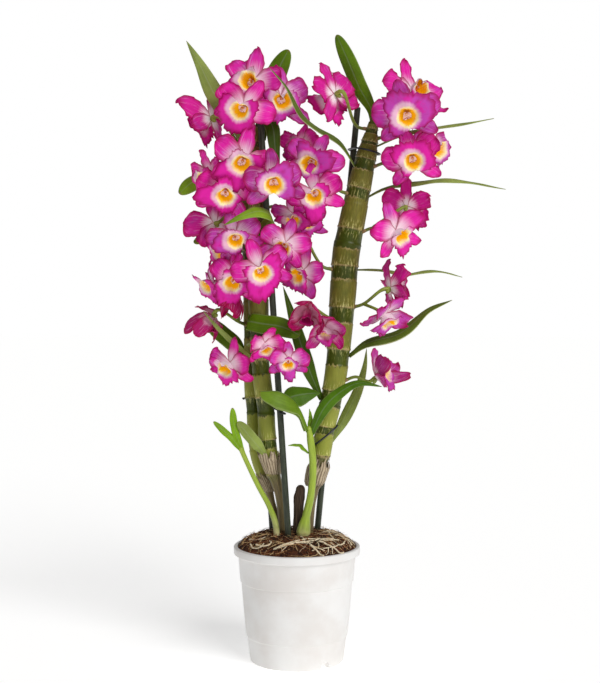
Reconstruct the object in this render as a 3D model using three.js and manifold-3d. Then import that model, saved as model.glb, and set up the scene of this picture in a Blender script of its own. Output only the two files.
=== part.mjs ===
// A flowering dendrobium orchid in its nursery pot, in millimetres, +Z up.
// The origin is the middle of the pot's underside; +X is to the right, +Y to the back.
//
// Every stem, stake and shoot stands in a plain hole in the coir. Leaves and flower
// stalks start a hair's breadth off the cane that carries them.

import * as THREE from 'three';
import { mergeGeometries, mergeVertices } from 'three/addons/utils/BufferGeometryUtils.js';
import Module from 'manifold-3d';

const wasm = await Module();
wasm.setup();

// ---------------------------------------------------------------- driving sizes

const GAP = 0.3;                 // clearance between pieces that touch
const HOLE = GAP + 0.1;          // clearance round a stem in its hole
const WELD = 1e-3;               // vertices closer than this are one

const POT_HEIGHT = 110;
const RIM_RADIUS = 60.5;
const POT_SIDES = 24;
const FOOT_RADIUS = 44.2;
const FOOT_HEIGHT = 8;           // the floor is raised this far inside the foot ring
const FLOOR = 2.2;               // floor thickness
const BOSS_RADIUS = 15;          // the middle of the floor reaches down to the table
const BOSS_DRAFT = 2;            // how much wider the boss is at the floor
const STEP_HEIGHT = 76;          // the upper moulded step of the wall
const WALL_RADIUS = 52.3;        // inside of the wall at that step
// Outside of the wall, [radius, height], with its two moulded steps.
const POT_WALL = [[45.2, 1.6], [47.9, 24], [48.8, 25], [53.4, STEP_HEIGHT], [54.3, STEP_HEIGHT + 1],
  [56.2, 100]];
// The rolled rim, [in from the widest place, down from the top].
const POT_RIM = [[0.7, 7.4], [0, 4], [0.9, 0], [2.5, 0], [3.6, 5]];
const DRAIN_RADIUS = 3.2;
const DRAIN_CIRCLE = 28;
const DRAIN_COUNT = 4;
const NOTCH_COUNT = 3;
const NOTCH_START = -54;         // degrees, the notch that looks front right
const NOTCH_WIDTH = 12.5;
const NOTCH_HEIGHT = 7;

const SOIL_CROWN = 121;          // top of the mounded coir
const COIR_EDGE = 56.4;          // radius of the coir at the rim

const STAKE_RADIUS = 3;
const SHOOT_SIDES = 8;
const STUB_SIDES = 6;
const TIE_WIRE = 1.8;            // width of the tie bands, across and up
const BAND_CLEAR = 40;           // reach of the cut that opens a clip
const ROOT_LIFT = 0.35;          // how far surface roots arch over the coir

const LEAF_THICKNESS = 0.8;
const BASE_CLEAR = 0.9;          // half the thickness of a leaf base or stalk, with a little room
const SEAT_TRIES = 3;            // slides that bring a leaf or spray to its seat
const SEAT_SEARCH = 6;           // widest gap that a slide can close
const PETAL_THICKNESS = 0.7;

const STALK_RADIUS = 1.15;
const STALK_SWELL = 0.9;         // how much thicker a flower stalk is behind the bloom
const STALK_SIDES = 4;
const STALK_FINENESS = 20;       // steps between two points when a stalk's length is measured
const FORK_REACH = 9;            // how far off the cane a spray's stalk forks
const FORK_RISE = 3.6;           // and how far above its foot
const BACK_REACH = 8;            // how far behind a bloom its stalk turns into line with it

const SEPAL_LENGTH = 29;
const SEPAL_WIDTH = 14;
const PETAL_LENGTH = 28;
const PETAL_WIDTH = 20.5;
const LIP_LENGTH = 10.5;
const LIP_RADIUS = 16;
const LIP_TILT = 15;             // degrees that the lip hangs below the way the bloom faces
const HOOD_LEAN = 0.4;           // how far the lip's upper side leans forward, as a share of its depth

// Canes: the centre line from the base up, the heights of the nodes, and the
// radius at chosen heights.
const CANES = {
  cane_left: {
    line: [[-17, 8, 94], [-19, 9, 130], [-24, 10, 150], [-30, 12, 168], [-36, 13, 184], [-40, 13, 205],
      [-42, 14, 240], [-44, 15, 265], [-44, 16, 300], [-45, 17, 350], [-46, 17, 400], [-48, 16, 445],
      [-48, 15, 480], [-46, 14, 502]],
    nodes: [176, 215, 251, 286, 321, 357, 393, 428, 460, 486],
    radii: [[94, 2.4], [150, 2.8], [161, 4.2], [174, 5], [198, 6.6], [240, 6.8], [400, 6.8], [445, 6],
      [486, 4.6], [502, 3]],
    sides: 8,
  },
  cane_middle: {
    line: [[-13, 1, 94], [-14, 1, 128], [-16, 0, 150], [-19, -1, 168], [-24, -1, 184], [-28, -1, 212],
      [-30, -1, 245], [-34, -1, 275], [-36, -1, 320], [-37, -1, 365], [-38, -1, 415], [-38, -1, 450],
      [-37, -1, 485], [-35, -1, 516]],
    nodes: [179, 212, 253, 288, 323, 359, 395, 431, 465, 495],
    radii: [[94, 3.2], [160, 3.8], [168, 5.2], [176, 5.8], [192, 8], [240, 8.2], [300, 8.6], [345, 9.4],
      [400, 8.6], [440, 7.6], [480, 6.8], [505, 5], [516, 3]],
    sides: 8,
  },
  cane_right: {
    line: [[11, 4, 94], [12, 4, 125], [14, 4, 150], [18, 4, 174], [23, 4, 192], [27, 5, 222], [33, 5, 250],
      [38, 6, 278], [41, 7, 310], [44, 8, 348], [47, 8, 388], [53, 8, 420], [58, 8, 446], [64, 8, 472],
      [70, 8, 498], [74, 8, 518]],
    nodes: [196, 224, 258, 298, 338, 378, 413, 452, 480, 496, 508],
    radii: [[94, 3.6], [150, 3.8], [164, 5.4], [171, 8.8], [184, 9.2], [190, 6.4], [198, 8.6],
      [225, 9.6], [250, 10.2], [290, 10.6], [330, 12], [365, 12.6], [400, 12.8], [445, 11.6],
      [470, 10.2], [488, 9], [502, 6.4], [518, 3.6]],
    sides: 10,
  },
};
const NODE_RING = 0.5;           // how far a node's ring stands out
const SHEATH = 0.35;             // thickness of the papery sheath above each node
const SHEATH_SHARE = 0.62;       // share of an internode that the sheath covers
const TIP_TAPER = 0.6;           // how much slimmer the very tip is

// Stakes: foot and top of each straight stick.
const STAKES = {
  stake_middle: [[-6, -13, 90], [-35, -13, 528]],
  stake_right: [[17, 17.5, 90], [59, 30, 532]],
  stake_left: [[-22, 20, 90], [-46, 30, 462]],
};

// Ties: the canes and stakes that each band holds, its height at the first of them,
// how far it climbs for each millimetre to the right, and the stretch of X over which
// an open clip has no front.
const TIES = {
  tie_left: { around: ['cane_left', 'cane_middle', 'stake_middle'], height: 246, slope: -0.3,
    open: [-42, -27] },
  tie_right_low: { around: ['cane_right', 'stake_right'], height: 213, slope: 0.8 },
  tie_right_top: { around: ['cane_right', 'stake_right'], height: 486, slope: -0.24 },
};

// Leaves. Each one starts on a cane at a height and an azimuth (degrees from +X
// towards +Y) and runs through the points to its tip. width is the widest place,
// face is the way the upper side looks, and fold how far the edges bend away from it.
const LEAVES = {
  leaf_tip_left: { on: ['cane_left', 492, 150], through: [[-60, 6, 516], [-78, -4, 540], [-92, -6, 568],
    [-104, -6, 589]], width: 22, face: [-0.3, -1, 0.2] },
  leaf_tip_middle: { on: ['cane_middle', 508, 60], through: [[-28, 8, 536], [-20, 11, 560],
    [-8, 12, 584]], width: 20, face: [0.2, -1, 0.2], blunt: true },
  leaf_arch: { on: ['cane_right', 472, -150], through: [[41, -14, 492], [19, -26, 504], [4, -34, 516],
    [-10, -44, 540], [-25, -46, 557]], width: 8, face: [0.3, -0.8, 0.6] },
  leaf_tip_right: { on: ['cane_right', 514, 100], through: [[71, 14, 528], [60, 15, 549], [49, 13, 574],
    [38, 11, 598]], width: 16, face: [-0.3, -1, -0.1], blunt: true },
  leaf_short_right: { on: ['cane_right', 510, 30], through: [[92, 14, 540], [102, 16, 552],
    [109, 17, 561]], width: 7, face: [-0.4, -0.9, 0.4] },
  leaf_upper_right: { on: ['cane_right', 492, 20], through: [[104, 18, 505], [128, 20, 510],
    [152, 18, 513], [189, 14, 519]], width: 6.5, face: [0, -0.6, 0.8] },
  leaf_middle_right: { on: ['cane_right', 444, 15], through: [[84, 14, 452], [110, 18, 457],
    [150, 15, 460], [200, 10, 451]], width: 8, face: [0, -0.6, 0.8] },
  leaf_lower_right: { on: ['cane_right', 374, 15], through: [[80, 16, 374], [105, 20, 370],
    [135, 20, 373], [160, 18, 367]], width: 6.5, face: [0, -0.6, 0.8] },
  leaf_broad_right: { on: ['cane_right', 291, -10], through: [[66, 6, 303], [100, 11, 313], [126, 7, 335],
    [148, -1, 345]], width: 15, face: [-0.4, -0.8, 0.6] },
  leaf_grey_right: { on: ['cane_right', 206, 40], through: [[46, 20, 229], [59, 23, 256], [66, 25, 280],
    [68, 25, 298]], width: 13, face: [-0.3, -1, 0] },
  leaf_dark_inner: { on: ['cane_right', 250, -160], through: [[12, -4, 278], [3, -10, 306],
    [-6, -15, 336], [-13, -13, 358]], width: 17, face: [0.25, -1, 0.1] },
  leaf_fold_middle: { on: ['cane_middle', 322, -160], through: [[-46, -15, 325], [-33, -19, 323],
    [-14, -22, 320], [3, -22, 312]], width: 19, face: [0, -1, 0.25], blunt: true },
  leaf_over_middle: { on: ['cane_middle', 404, -95], through: [[-37, -19, 409], [-23, -32, 421],
    [-34, -51, 426], [-50, -58, 421], [-66, -58, 413]], width: 17, face: [0.1, -1, 0.5] },
  leaf_round_left: { on: ['cane_left', 450, 165], through: [[-76, 18, 458], [-98, 14, 459],
    [-113, 12, 447]], width: 20, face: [0, -0.8, 0.6], blunt: true },
  leaf_side_left: { on: ['cane_left', 392, 165], through: [[-70, 15, 402], [-86, 12, 406],
    [-99, 10, 400]], width: 14, face: [0, -0.8, 0.6], blunt: true },
  leaf_strap_middle: { on: ['cane_middle', 496, -25], through: [[-29, -9, 516], [-23, -13, 508],
    [-20, -15, 482], [-17, -16, 456]], width: 16, face: [0.4, -1, 0.3] },
  leaf_low_left: { on: ['cane_middle', 290, -165], through: [[-56, -8, 301], [-68, -12, 312],
    [-80, -15, 325], [-88, -16, 335]], width: 6, face: [-0.3, -1, 0.3] },
  leaf_low_left_dark: { on: ['cane_left', 286, 150], through: [[-60, 22, 301], [-74, 24, 313],
    [-88, 24, 326]], width: 17, face: [-0.2, -1, 0.4], blunt: true },
  leaf_grey_left: { on: ['cane_middle', 196, -110], through: [[-36, -14, 206], [-46, -14, 218],
    [-56, -13, 230]], width: 12, face: [-0.2, -1, 0], blunt: true },
};

// Sprays. Each one leaves a cane at a height, towards its blooms or at a chosen azimuth,
// and carries its blooms: where the bloom sits, the way it faces (azimuth to the right of
// straight ahead, then up), its turn about that line, its size, and how far it has opened.
const SPRAYS = {
  spray_left_top: { on: ['cane_left', 488], blooms: [
    { at: [-82, 4, 518], face: [-125, -5], roll: 10, size: 1.2, open: 0.8 },
    { at: [-49, -44, 520], face: [-8, -6], roll: -35, size: 1.05 }] },
  spray_left_2: { on: ['cane_left', 460], blooms: [
    { at: [-81, -14, 461], face: [-55, -4], roll: 8, size: 0.9 },
    { at: [-66, -38, 444], face: [8, -10], roll: -10 }] },
  spray_left_3: { on: ['cane_left', 426], blooms: [
    { at: [-78, 1, 418], face: [-148, -5], roll: -12, size: 1.05 }] },
  spray_left_4: { on: ['cane_left', 393], blooms: [
    { at: [-67, -17, 392], face: [-50, -8], roll: -30, size: 0.85 }] },
  spray_left_5: { on: ['cane_left', 357], blooms: [
    { at: [-80, -6, 362], face: [-62, -14], roll: 20, size: 0.85 },
    { at: [-58, -33, 364], face: [-10, -10], roll: -10, size: 0.95 }] },
  spray_left_6: { on: ['cane_left', 321], blooms: [
    { at: [-80, -4, 330], face: [-130, -40], roll: 15, size: 1.15, open: 0.4 },
    { at: [-60, -16, 351], face: [-30, -65], roll: 0, size: 0.95, open: 0.2 }] },
  spray_left_7: { on: ['cane_left', 278, -140], blooms: [
    { at: [-62, -26, 285], face: [-34, -10], roll: -14, size: 0.9 }] },
  spray_middle_top: { on: ['cane_middle', 510, 20], blooms: [
    { at: [-42, -24, 546], face: [-8, 18], roll: -20, size: 1.1 },
    { at: [-15, -22, 531], face: [12, 4], roll: 0, size: 1.1 }] },
  spray_middle_2: { on: ['cane_middle', 465, -110], blooms: [
    { at: [-50, -45, 472], face: [6, -6], roll: -20, size: 1.1 },
    { at: [-21, -50, 453], face: [0, -8], roll: 10, size: 1.05 }] },
  spray_middle_3: { on: ['cane_middle', 431, 32], blooms: [
    { at: [-3, -10, 425], face: [-10, -25], roll: 10, size: 0.8 }] },
  spray_middle_4: { on: ['cane_middle', 395, -120], blooms: [
    { at: [-56, -38, 403], face: [-6, -8], roll: 22, size: 0.95 },
    { at: [-11, -36, 396], face: [-10, -6], roll: -15, size: 0.9 }] },
  spray_middle_5: { on: ['cane_middle', 359], blooms: [
    { at: [-33, -50, 373], face: [4, -8], roll: 20 }] },
  spray_middle_6: { on: ['cane_middle', 300, -125], blooms: [
    { at: [-30, -38, 304], face: [25, -25], roll: 0, size: 0.8, open: 0.7 }] },
  spray_middle_7: { on: ['cane_middle', 300, 20], blooms: [
    { at: [-8, -33, 289], face: [0, -14], roll: 0, size: 0.75, open: 0.8 }] },
  spray_right_top: { on: ['cane_right', 508, 160], blooms: [
    { at: [36, -12, 538], face: [-135, -10], roll: -20, size: 1.15 }] },
  spray_right_2: { on: ['cane_right', 498], blooms: [
    { at: [110, -2, 540], face: [34, 36], roll: -6, size: 1.25, open: 0.75 },
    { at: [102, -30, 516], face: [-6, -2], roll: 10, size: 1.15 }] },
  spray_right_3: { on: ['cane_right', 472], blooms: [
    { at: [108, -20, 477], face: [-4, -6], roll: 15, size: 1.05 },
    { at: [128, 6, 489], face: [44, 8], roll: 10, size: 1.05 }] },
  spray_right_inner: { on: ['cane_right', 446], blooms: [
    { at: [14, -30, 473], face: [-14, -4], roll: -25 },
    { at: [17, -34, 444], face: [-10, -10], roll: 15 },
    { at: [5, 6, 491], face: [-30, 6], roll: 0, size: 0.85 }] },
  spray_right_4: { on: ['cane_right', 410], blooms: [
    { at: [92, -24, 408], face: [34, -8], roll: 20 },
    { at: [105, 6, 434], face: [150, 6], roll: 0, size: 0.95 }] },
  spray_right_inner_2: { on: ['cane_right', 374], blooms: [
    { at: [8, 11, 418], face: [20, 20], roll: 10, size: 0.8, open: 0.8 },
    { at: [6, -20, 371], face: [-36, -6], roll: -20, size: 0.95 }] },
  spray_right_5: { on: ['cane_right', 338], blooms: [
    { at: [89, -4, 356], face: [112, 8], roll: -25, size: 1.1, open: 0.75 },
    { at: [82, -16, 331], face: [54, -34], roll: -15, size: 1.0, open: 0.75 }] },
  spray_right_inner_3: { on: ['cane_right', 326, -130], blooms: [
    { at: [11, -27, 335], face: [-16, -28], roll: 0, size: 1.1, open: 0.25 },
    { at: [27, -25, 318], face: [-4, -24], roll: 0, size: 0.95, open: 0.5 }] },
  spray_right_6: { on: ['cane_right', 268], blooms: [
    { at: [76, -5, 272], face: [66, 30], roll: 0, size: 1.15, open: 0.6 }] },
};

// Young shoots: the stem's centre line and radii by height, and its leaves.
const SHOOTS = {
  shoot_right: {
    line: [[6, -10, 94], [6, -10, 122], [9, -11, 140], [13, -12, 158], [15, -12, 176], [15, -12, 195],
      [13, -12, 212], [11, -12, 226]],
    radii: [[94, 3.4], [116, 4.6], [124, 6.8], [131, 5.8], [139, 3.9], [176, 3.4], [212, 4.2], [226, 4]],
    leaves: [
      { through: [[11, -12, 222], [3, -18, 242], [-6, -26, 254], [-18, -30, 260], [-35, -32, 260]], width: 40,
        face: [0, -0.1, 1], fold: 1.6, blunt: true },
      { through: [[-12, -24, 250], [-4, -18, 254], [8, -12, 256], [22, -10, 257]], width: 26,
        face: [0, -0.9, 0.5] },
      { through: [[12, -12, 214], [25, -15, 242], [38, -17, 256], [58, -20, 267], [80, -24, 264]], width: 14,
        face: [0.2, -0.9, 0.5] },
      { through: [[11, -12, 200], [2, -16, 208], [-8, -18, 208]], width: 6, face: [0, -0.6, 0.8] },
      { through: [[11, -11, 222], [13, -9, 232], [12, -9, 242]], width: 5, face: [0, -1, 0] },
    ],
  },
  shoot_left: {
    line: [[-19, -7, 94], [-20, -8, 130], [-26, -9, 148], [-37, -10, 169], [-47, -10, 190], [-54, -10, 206]],
    radii: [[94, 2.8], [124, 3.1], [150, 2.5], [190, 2.3], [206, 2.4]],
    leaves: [
      { through: [[-50, -10, 198], [-60, -11, 212], [-69, -12, 221], [-79, -12, 230]], width: 6.5,
        face: [0.3, -1, 0.2], blunt: true },
      { through: [[-50, -10, 200], [-57, -11, 216], [-60, -11, 230], [-61, -11, 243]], width: 7.5,
        face: [0, -1, 0], blunt: true },
    ],
  },
};

// The foot of an old cane that has dried up.
const STUB = {
  line: [[1, 0, 94], [1, 0, 125], [2, 0, 150], [4, 0, 168]],
  radii: [[94, 4], [122, 4.8], [142, 4.2], [156, 5.2], [168, 3.4]],
};

// Roots that lie on the coir: plan routes (x, y) with a radius. Each one crosses
// the one before it, so that together they are one piece.
const ROOTS = [
  { radius: 1.3, route: [[-22, -46], [-8, -40], [10, -30], [26, -24], [40, -20]] },
  { radius: 1.3, route: [[4, -22], [6, -28], [8, -36], [16, -43], [26, -45]] },
  { radius: 1.2, route: [[36, -22], [32, -8], [30, 8], [24, 26], [14, 40]] },
  { radius: 1.2, route: [[30, 10], [40, 4], [46, -8], [44, -22], [36, -34], [24, -44]] },
  { radius: 1.1, route: [[46, -8], [49, 6], [45, 22], [36, 35]] },
  { radius: 1.1, route: [[30, 8], [38, 20], [40, 31], [30, 42]] },
];

// ---------------------------------------------------------------- colours

const finish = (color, roughness) => new THREE.MeshStandardMaterial({ color, roughness });

const FINISH = {
  pot: finish('#ece8e4', 0.5),
  coir: finish('#4a2414', 0.95),
  root: finish('#cdb98a', 0.7),
  stake: finish('#2f3d36', 0.45),
  tie: finish('#14161a', 0.4),
  cane: finish('#7f9440', 0.5),
  stub: finish('#4a3524', 0.85),
  shoot: finish('#93b83f', 0.45),
  leaf: finish('#4f7f2c', 0.5),
  bloom: finish('#c4279a', 0.6),
};

// ---------------------------------------------------------------- shape helpers

const vector = (point) => new THREE.Vector3(...point);
const radians = THREE.MathUtils.degToRad;

// Welds a geometry's corners, drops triangles with no area and turns it outside out.
function weld(geometry) {
  geometry.deleteAttribute('normal');
  geometry.deleteAttribute('uv');
  const merged = mergeVertices(geometry, WELD);
  const corners = merged.getIndex().array;
  const place = merged.getAttribute('position');
  const [a, b, c] = [new THREE.Vector3(), new THREE.Vector3(), new THREE.Vector3()];
  const kept = [];
  let volume = 0;
  for (let i = 0; i < corners.length; i += 3) {
    const [p, q, r] = corners.slice(i, i + 3);
    if (p === q || q === r || r === p) continue;
    kept.push(p, q, r);
    a.fromBufferAttribute(place, p);
    b.fromBufferAttribute(place, q);
    c.fromBufferAttribute(place, r);
    volume += a.dot(b.cross(c));
  }
  if (volume < 0) kept.reverse();
  merged.setIndex(kept);
  return merged;
}

function toSolid(geometry) {
  const merged = weld(geometry);
  const vertProperties = merged.getAttribute('position').array;
  const triVerts = new Uint32Array(merged.getIndex().array);
  return new wasm.Manifold(new wasm.Mesh({ numProp: 3, vertProperties, triVerts }));
}

function toGeometry(solid) {
  const mesh = solid.getMesh();
  const geometry = new THREE.BufferGeometry();
  geometry.setAttribute('position', new THREE.BufferAttribute(mesh.vertProperties, 3));
  geometry.setIndex(new THREE.BufferAttribute(mesh.triVerts, 1));
  geometry.computeVertexNormals();
  return geometry;
}

// Joins solids into one body, without scraps that hang loose.
function fuse(solids) {
  const bodies = wasm.Manifold.union(solids).simplify(0.01).decompose();
  return bodies.reduce((best, body) => (body.volume() > best.volume() ? body : best));
}

// A smooth curve through hand-placed points.
const curveThrough = (points) => new THREE.CatmullRomCurve3(points.map(vector), false, 'centripetal');

// The share of a rising curve's length at which it reaches a height.
function shareAtHeight(curve, height) {
  let [low, high] = [0, 1];
  for (let step = 0; step < 24; step += 1) {
    const middle = (low + high) / 2;
    if (curve.getPointAt(middle).z < height) low = middle;
    else high = middle;
  }
  return (low + high) / 2;
}

// Straight-line values between hand-placed pairs.
function between(pairs, at) {
  const next = pairs.findIndex(([key]) => key >= at);
  if (next === 0) return pairs[0][1];
  if (next < 0) return pairs[pairs.length - 1][1];
  const [[k0, v0], [k1, v1]] = [pairs[next - 1], pairs[next]];
  return v0 + ((v1 - v0) * (at - k0)) / (k1 - k0);
}

// A closed round body whose axis follows a curve: rings are [share of length, radius].
function bentRound(curve, rings, sides, reference = new THREE.Vector3(0, 1, 0)) {
  const profile = [[rings[0][0], 0], ...rings, [rings[rings.length - 1][0], 0]];
  const outline = profile.map(([share, radius]) => new THREE.Vector2(radius, share));
  const lathe = new THREE.LatheGeometry(outline, sides);
  const place = lathe.getAttribute('position');
  for (let i = 0; i < place.count; i += 1) {
    const share = THREE.MathUtils.clamp(place.getY(i), 0, 1);
    const along = curve.getTangentAt(share);
    const across = new THREE.Vector3().crossVectors(reference, along).normalize();
    const up = new THREE.Vector3().crossVectors(along, across);
    const point = curve.getPointAt(share);
    point.addScaledVector(across, place.getX(i)).addScaledVector(up, place.getZ(i));
    place.setXYZ(i, point.x, point.y, point.z);
  }
  return weld(lathe);
}

// An open sheet through rows of points; a row may be a single point.
function sheet(rows) {
  const starts = [];
  const places = [];
  rows.forEach((row) => {
    starts.push(places.length);
    places.push(...row);
  });
  const corners = [];
  for (let i = 0; i + 1 < rows.length; i += 1) {
    const [here, there] = [starts[i], starts[i + 1]];
    const [m, n] = [rows[i].length, rows[i + 1].length];
    if (n === 1) {
      for (let j = 0; j + 1 < m; j += 1) corners.push(here + j, here + j + 1, there);
    } else if (m === 1) {
      for (let j = 0; j + 1 < n; j += 1) corners.push(here, there + j + 1, there + j);
    } else if (m < n) {
      corners.push(here, there + 1, there, here, here + 1, there + 1, here + 1, there + 2, there + 1);
    } else {
      for (let j = 0; j + 1 < m; j += 1) {
        corners.push(here + j, here + j + 1, there + j, here + j + 1, there + j + 1, there + j);
      }
    }
  }
  const geometry = new THREE.BufferGeometry().setFromPoints(places);
  geometry.setIndex(corners);
  return geometry;
}

// Gives an open sheet a thickness, with the same triangles on both faces.
function thicken(surface, thickness) {
  surface.computeVertexNormals();
  const place = surface.getAttribute('position');
  const normal = surface.getAttribute('normal');
  const corners = Array.from(surface.getIndex().array);
  const { count } = place;
  const points = [];
  [0.5, -0.5].forEach((side) => {
    for (let i = 0; i < count; i += 1) {
      const offset = new THREE.Vector3().fromBufferAttribute(normal, i).multiplyScalar(side * thickness);
      points.push(new THREE.Vector3().fromBufferAttribute(place, i).add(offset));
    }
  });
  const edges = new Set();
  const both = [];
  for (let i = 0; i < corners.length; i += 3) {
    const [a, b, c] = corners.slice(i, i + 3);
    both.push(a, b, c, c + count, b + count, a + count);
    [[a, b], [b, c], [c, a]].forEach(([p, q]) => edges.add(`${p} ${q}`));
  }
  edges.forEach((edge) => {
    const [p, q] = edge.split(' ').map(Number);
    if (!edges.has(`${q} ${p}`)) both.push(q, p, p + count, q, p + count, q + count);
  });
  const geometry = new THREE.BufferGeometry().setFromPoints(points);
  geometry.setIndex(both);
  return weld(geometry);
}

// ---------------------------------------------------------------- pot and coir

// Outline of the pot, from the middle of its underside out, up, over the rim and back in.
function potGeometry() {
  const floorTop = FOOT_HEIGHT + FLOOR;
  const outline = [
    [0, 0], [BOSS_RADIUS, 0], [BOSS_RADIUS + BOSS_DRAFT, FOOT_HEIGHT],
    [FOOT_RADIUS - 3 * FLOOR, FOOT_HEIGHT], [FOOT_RADIUS - 2 * FLOOR, 0], [FOOT_RADIUS, 0],
    ...POT_WALL, ...POT_RIM.map(([inwards, down]) => [RIM_RADIUS - inwards, POT_HEIGHT - down]),
    [WALL_RADIUS, STEP_HEIGHT], [FOOT_RADIUS - 0.8, floorTop],
    [BOSS_RADIUS + BOSS_DRAFT / 2, floorTop], [BOSS_RADIUS - BOSS_DRAFT / 2, FLOOR], [0, FLOOR],
  ];
  const lathe = new THREE.LatheGeometry(outline.map((point) => new THREE.Vector2(...point)), POT_SIDES);
  let solid = toSolid(lathe.rotateX(Math.PI / 2));
  for (let i = 0; i < NOTCH_COUNT; i += 1) {
    solid = solid.subtract(notchSolid(radians(NOTCH_START + (360 / NOTCH_COUNT) * i)));
  }
  for (let i = 0; i < DRAIN_COUNT; i += 1) {
    const angle = (2 * Math.PI * (i + 0.5)) / DRAIN_COUNT;
    const drill = new THREE.CylinderGeometry(DRAIN_RADIUS, DRAIN_RADIUS, 3 * FLOOR, 6).rotateX(Math.PI / 2);
    drill.translate(DRAIN_CIRCLE * Math.cos(angle), DRAIN_CIRCLE * Math.sin(angle), FOOT_HEIGHT + FLOOR / 2);
    solid = solid.subtract(toSolid(drill));
  }
  return toGeometry(solid);
}

// The cutter for one foot notch: a gate with a small tooth in the middle of its top.
function notchSolid(angle) {
  const half = NOTCH_WIDTH / 2;
  const gate = new THREE.Shape([[-half, -1], [half, -1], [half * 0.45, NOTCH_HEIGHT], [0, NOTCH_HEIGHT - 2],
    [-half * 0.45, NOTCH_HEIGHT]].map((point) => new THREE.Vector2(...point)));
  const cutter = new THREE.ExtrudeGeometry(gate, { depth: 12, bevelEnabled: false });
  cutter.rotateX(Math.PI / 2).rotateZ(Math.PI / 2);
  cutter.translate(FOOT_RADIUS - 8, 0, 0).rotateZ(angle);
  return toSolid(cutter);
}

// Height of the coir's mound at a distance from the pot's axis.
const MOUND = [[0, SOIL_CROWN], [30, SOIL_CROWN - 0.4], [42, SOIL_CROWN - 3.2], [51, SOIL_CROWN - 7.4],
  [COIR_EDGE, SOIL_CROWN - 12.4]];
const moundHeight = (radius) => between(MOUND, radius);

// The coir fills the pot; each stem, stake and shoot stands in a hole of its own shape.
function coirGeometry(standing) {
  const floor = FOOT_HEIGHT + FLOOR + HOLE;
  const outline = [
    [0, FLOOR + HOLE], [BOSS_RADIUS - BOSS_DRAFT, FLOOR + HOLE], [BOSS_RADIUS, floor],
    [FOOT_RADIUS - 3 * HOLE, floor], [WALL_RADIUS - HOLE, STEP_HEIGHT], [COIR_EDGE, 105],
    ...MOUND.toReversed(),
  ];
  const lathe = new THREE.LatheGeometry(outline.map((point) => new THREE.Vector2(...point)), POT_SIDES);
  return toGeometry(toSolid(lathe.rotateX(Math.PI / 2)).subtract(wasm.Manifold.union(standing)));
}

// One root laid over the mound along its plan route.
function rootSolid({ radius, route }) {
  const plan = curveThrough(route.map(([x, y]) => [x, y, 0]));
  const steps = route.length;
  const points = plan.getSpacedPoints(steps).map(({ x, y }) => {
    const inner = moundHeight(Math.hypot(x, y) - radius);
    return [x, y, inner + radius + GAP + ROOT_LIFT];
  });
  const section = new THREE.Shape(Array.from({ length: 4 }, (_, i) => {
    const angle = (2 * Math.PI * i) / 4;
    return new THREE.Vector2(radius * Math.cos(angle), radius * Math.sin(angle));
  }));
  const options = { steps, extrudePath: curveThrough(points), bevelEnabled: false };
  return toSolid(new THREE.ExtrudeGeometry(section, options));
}

// ---------------------------------------------------------------- canes, stakes, ties

const caneCurves = Object.fromEntries(
  Object.entries(CANES).map(([name, { line }]) => [name, curveThrough(line)]));

// Rings of a cane: each internode has a node ring, a sheath, and a bare band below
// the next node.
function caneRings(name) {
  const { line, nodes, radii } = CANES[name];
  const tip = line[line.length - 1][2];
  const rings = radii.filter(([height]) => height < nodes[0]).map(([height]) => [height, 0]);
  nodes.forEach((node, i) => {
    const length = (nodes[i + 1] ?? tip) - node;
    const top = node + length * SHEATH_SHARE;
    rings.push([node, NODE_RING + SHEATH], [top, SHEATH]);
  });
  rings.push([tip, -TIP_TAPER]);
  return rings.map(([height, extra]) => [height, between(radii, height) + extra]);
}

function roundByHeight(curve, rings, sides, grow = 0) {
  const placed = rings.map(([height, radius]) => [shareAtHeight(curve, height), radius + grow]);
  return bentRound(curve, placed, sides);
}

function rod(from, to, radius, sides = 8) {
  const [foot, top] = [vector(from), vector(to)];
  const length = foot.distanceTo(top);
  const cylinder = new THREE.CylinderGeometry(radius, radius, length, sides);
  const turn = new THREE.Quaternion().setFromUnitVectors(new THREE.Vector3(0, 1, 0),
    top.clone().sub(foot).normalize());
  cylinder.applyQuaternion(turn);
  const middle = foot.add(top).multiplyScalar(0.5);
  return weld(cylinder.translate(middle.x, middle.y, middle.z));
}

// The round section of a cane or stake at a height: x, y and radius.
function sectionAt(name, height) {
  if (CANES[name]) {
    const { x, y } = caneCurves[name].getPointAt(shareAtHeight(caneCurves[name], height));
    return { x, y, radius: between(CANES[name].radii, height) + SHEATH + NODE_RING };
  }
  const [[x0, y0, z0], [x1, y1, z1]] = STAKES[name];
  const share = (height - z0) / (z1 - z0);
  return { x: x0 + (x1 - x0) * share, y: y0 + (y1 - y0) * share, radius: STAKE_RADIUS };
}

// The outline of a string pulled tight round circles that are grown by a margin.
function tightOutline(circles, margin) {
  const points = circles.flatMap(({ x, y, radius }) => Array.from({ length: 12 }, (_, i) => {
    const angle = (2 * Math.PI * i) / 12;
    const reach = (radius + margin) / Math.cos(Math.PI / 12);
    return [x + reach * Math.cos(angle), y + reach * Math.sin(angle)];
  })).sort((p, q) => p[0] - q[0] || p[1] - q[1]);
  const turn = (o, p, q) => (p[0] - o[0]) * (q[1] - o[1]) - (p[1] - o[1]) * (q[0] - o[0]);
  const half = (ordered) => {
    const chain = [];
    ordered.forEach((point) => {
      while (chain.length > 1 && turn(...chain.slice(-2), point) <= 0) chain.pop();
      chain.push(point);
    });
    return chain.slice(0, -1);
  };
  return [...half(points), ...half(points.reverse())].map((point) => new THREE.Vector2(...point));
}

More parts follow.
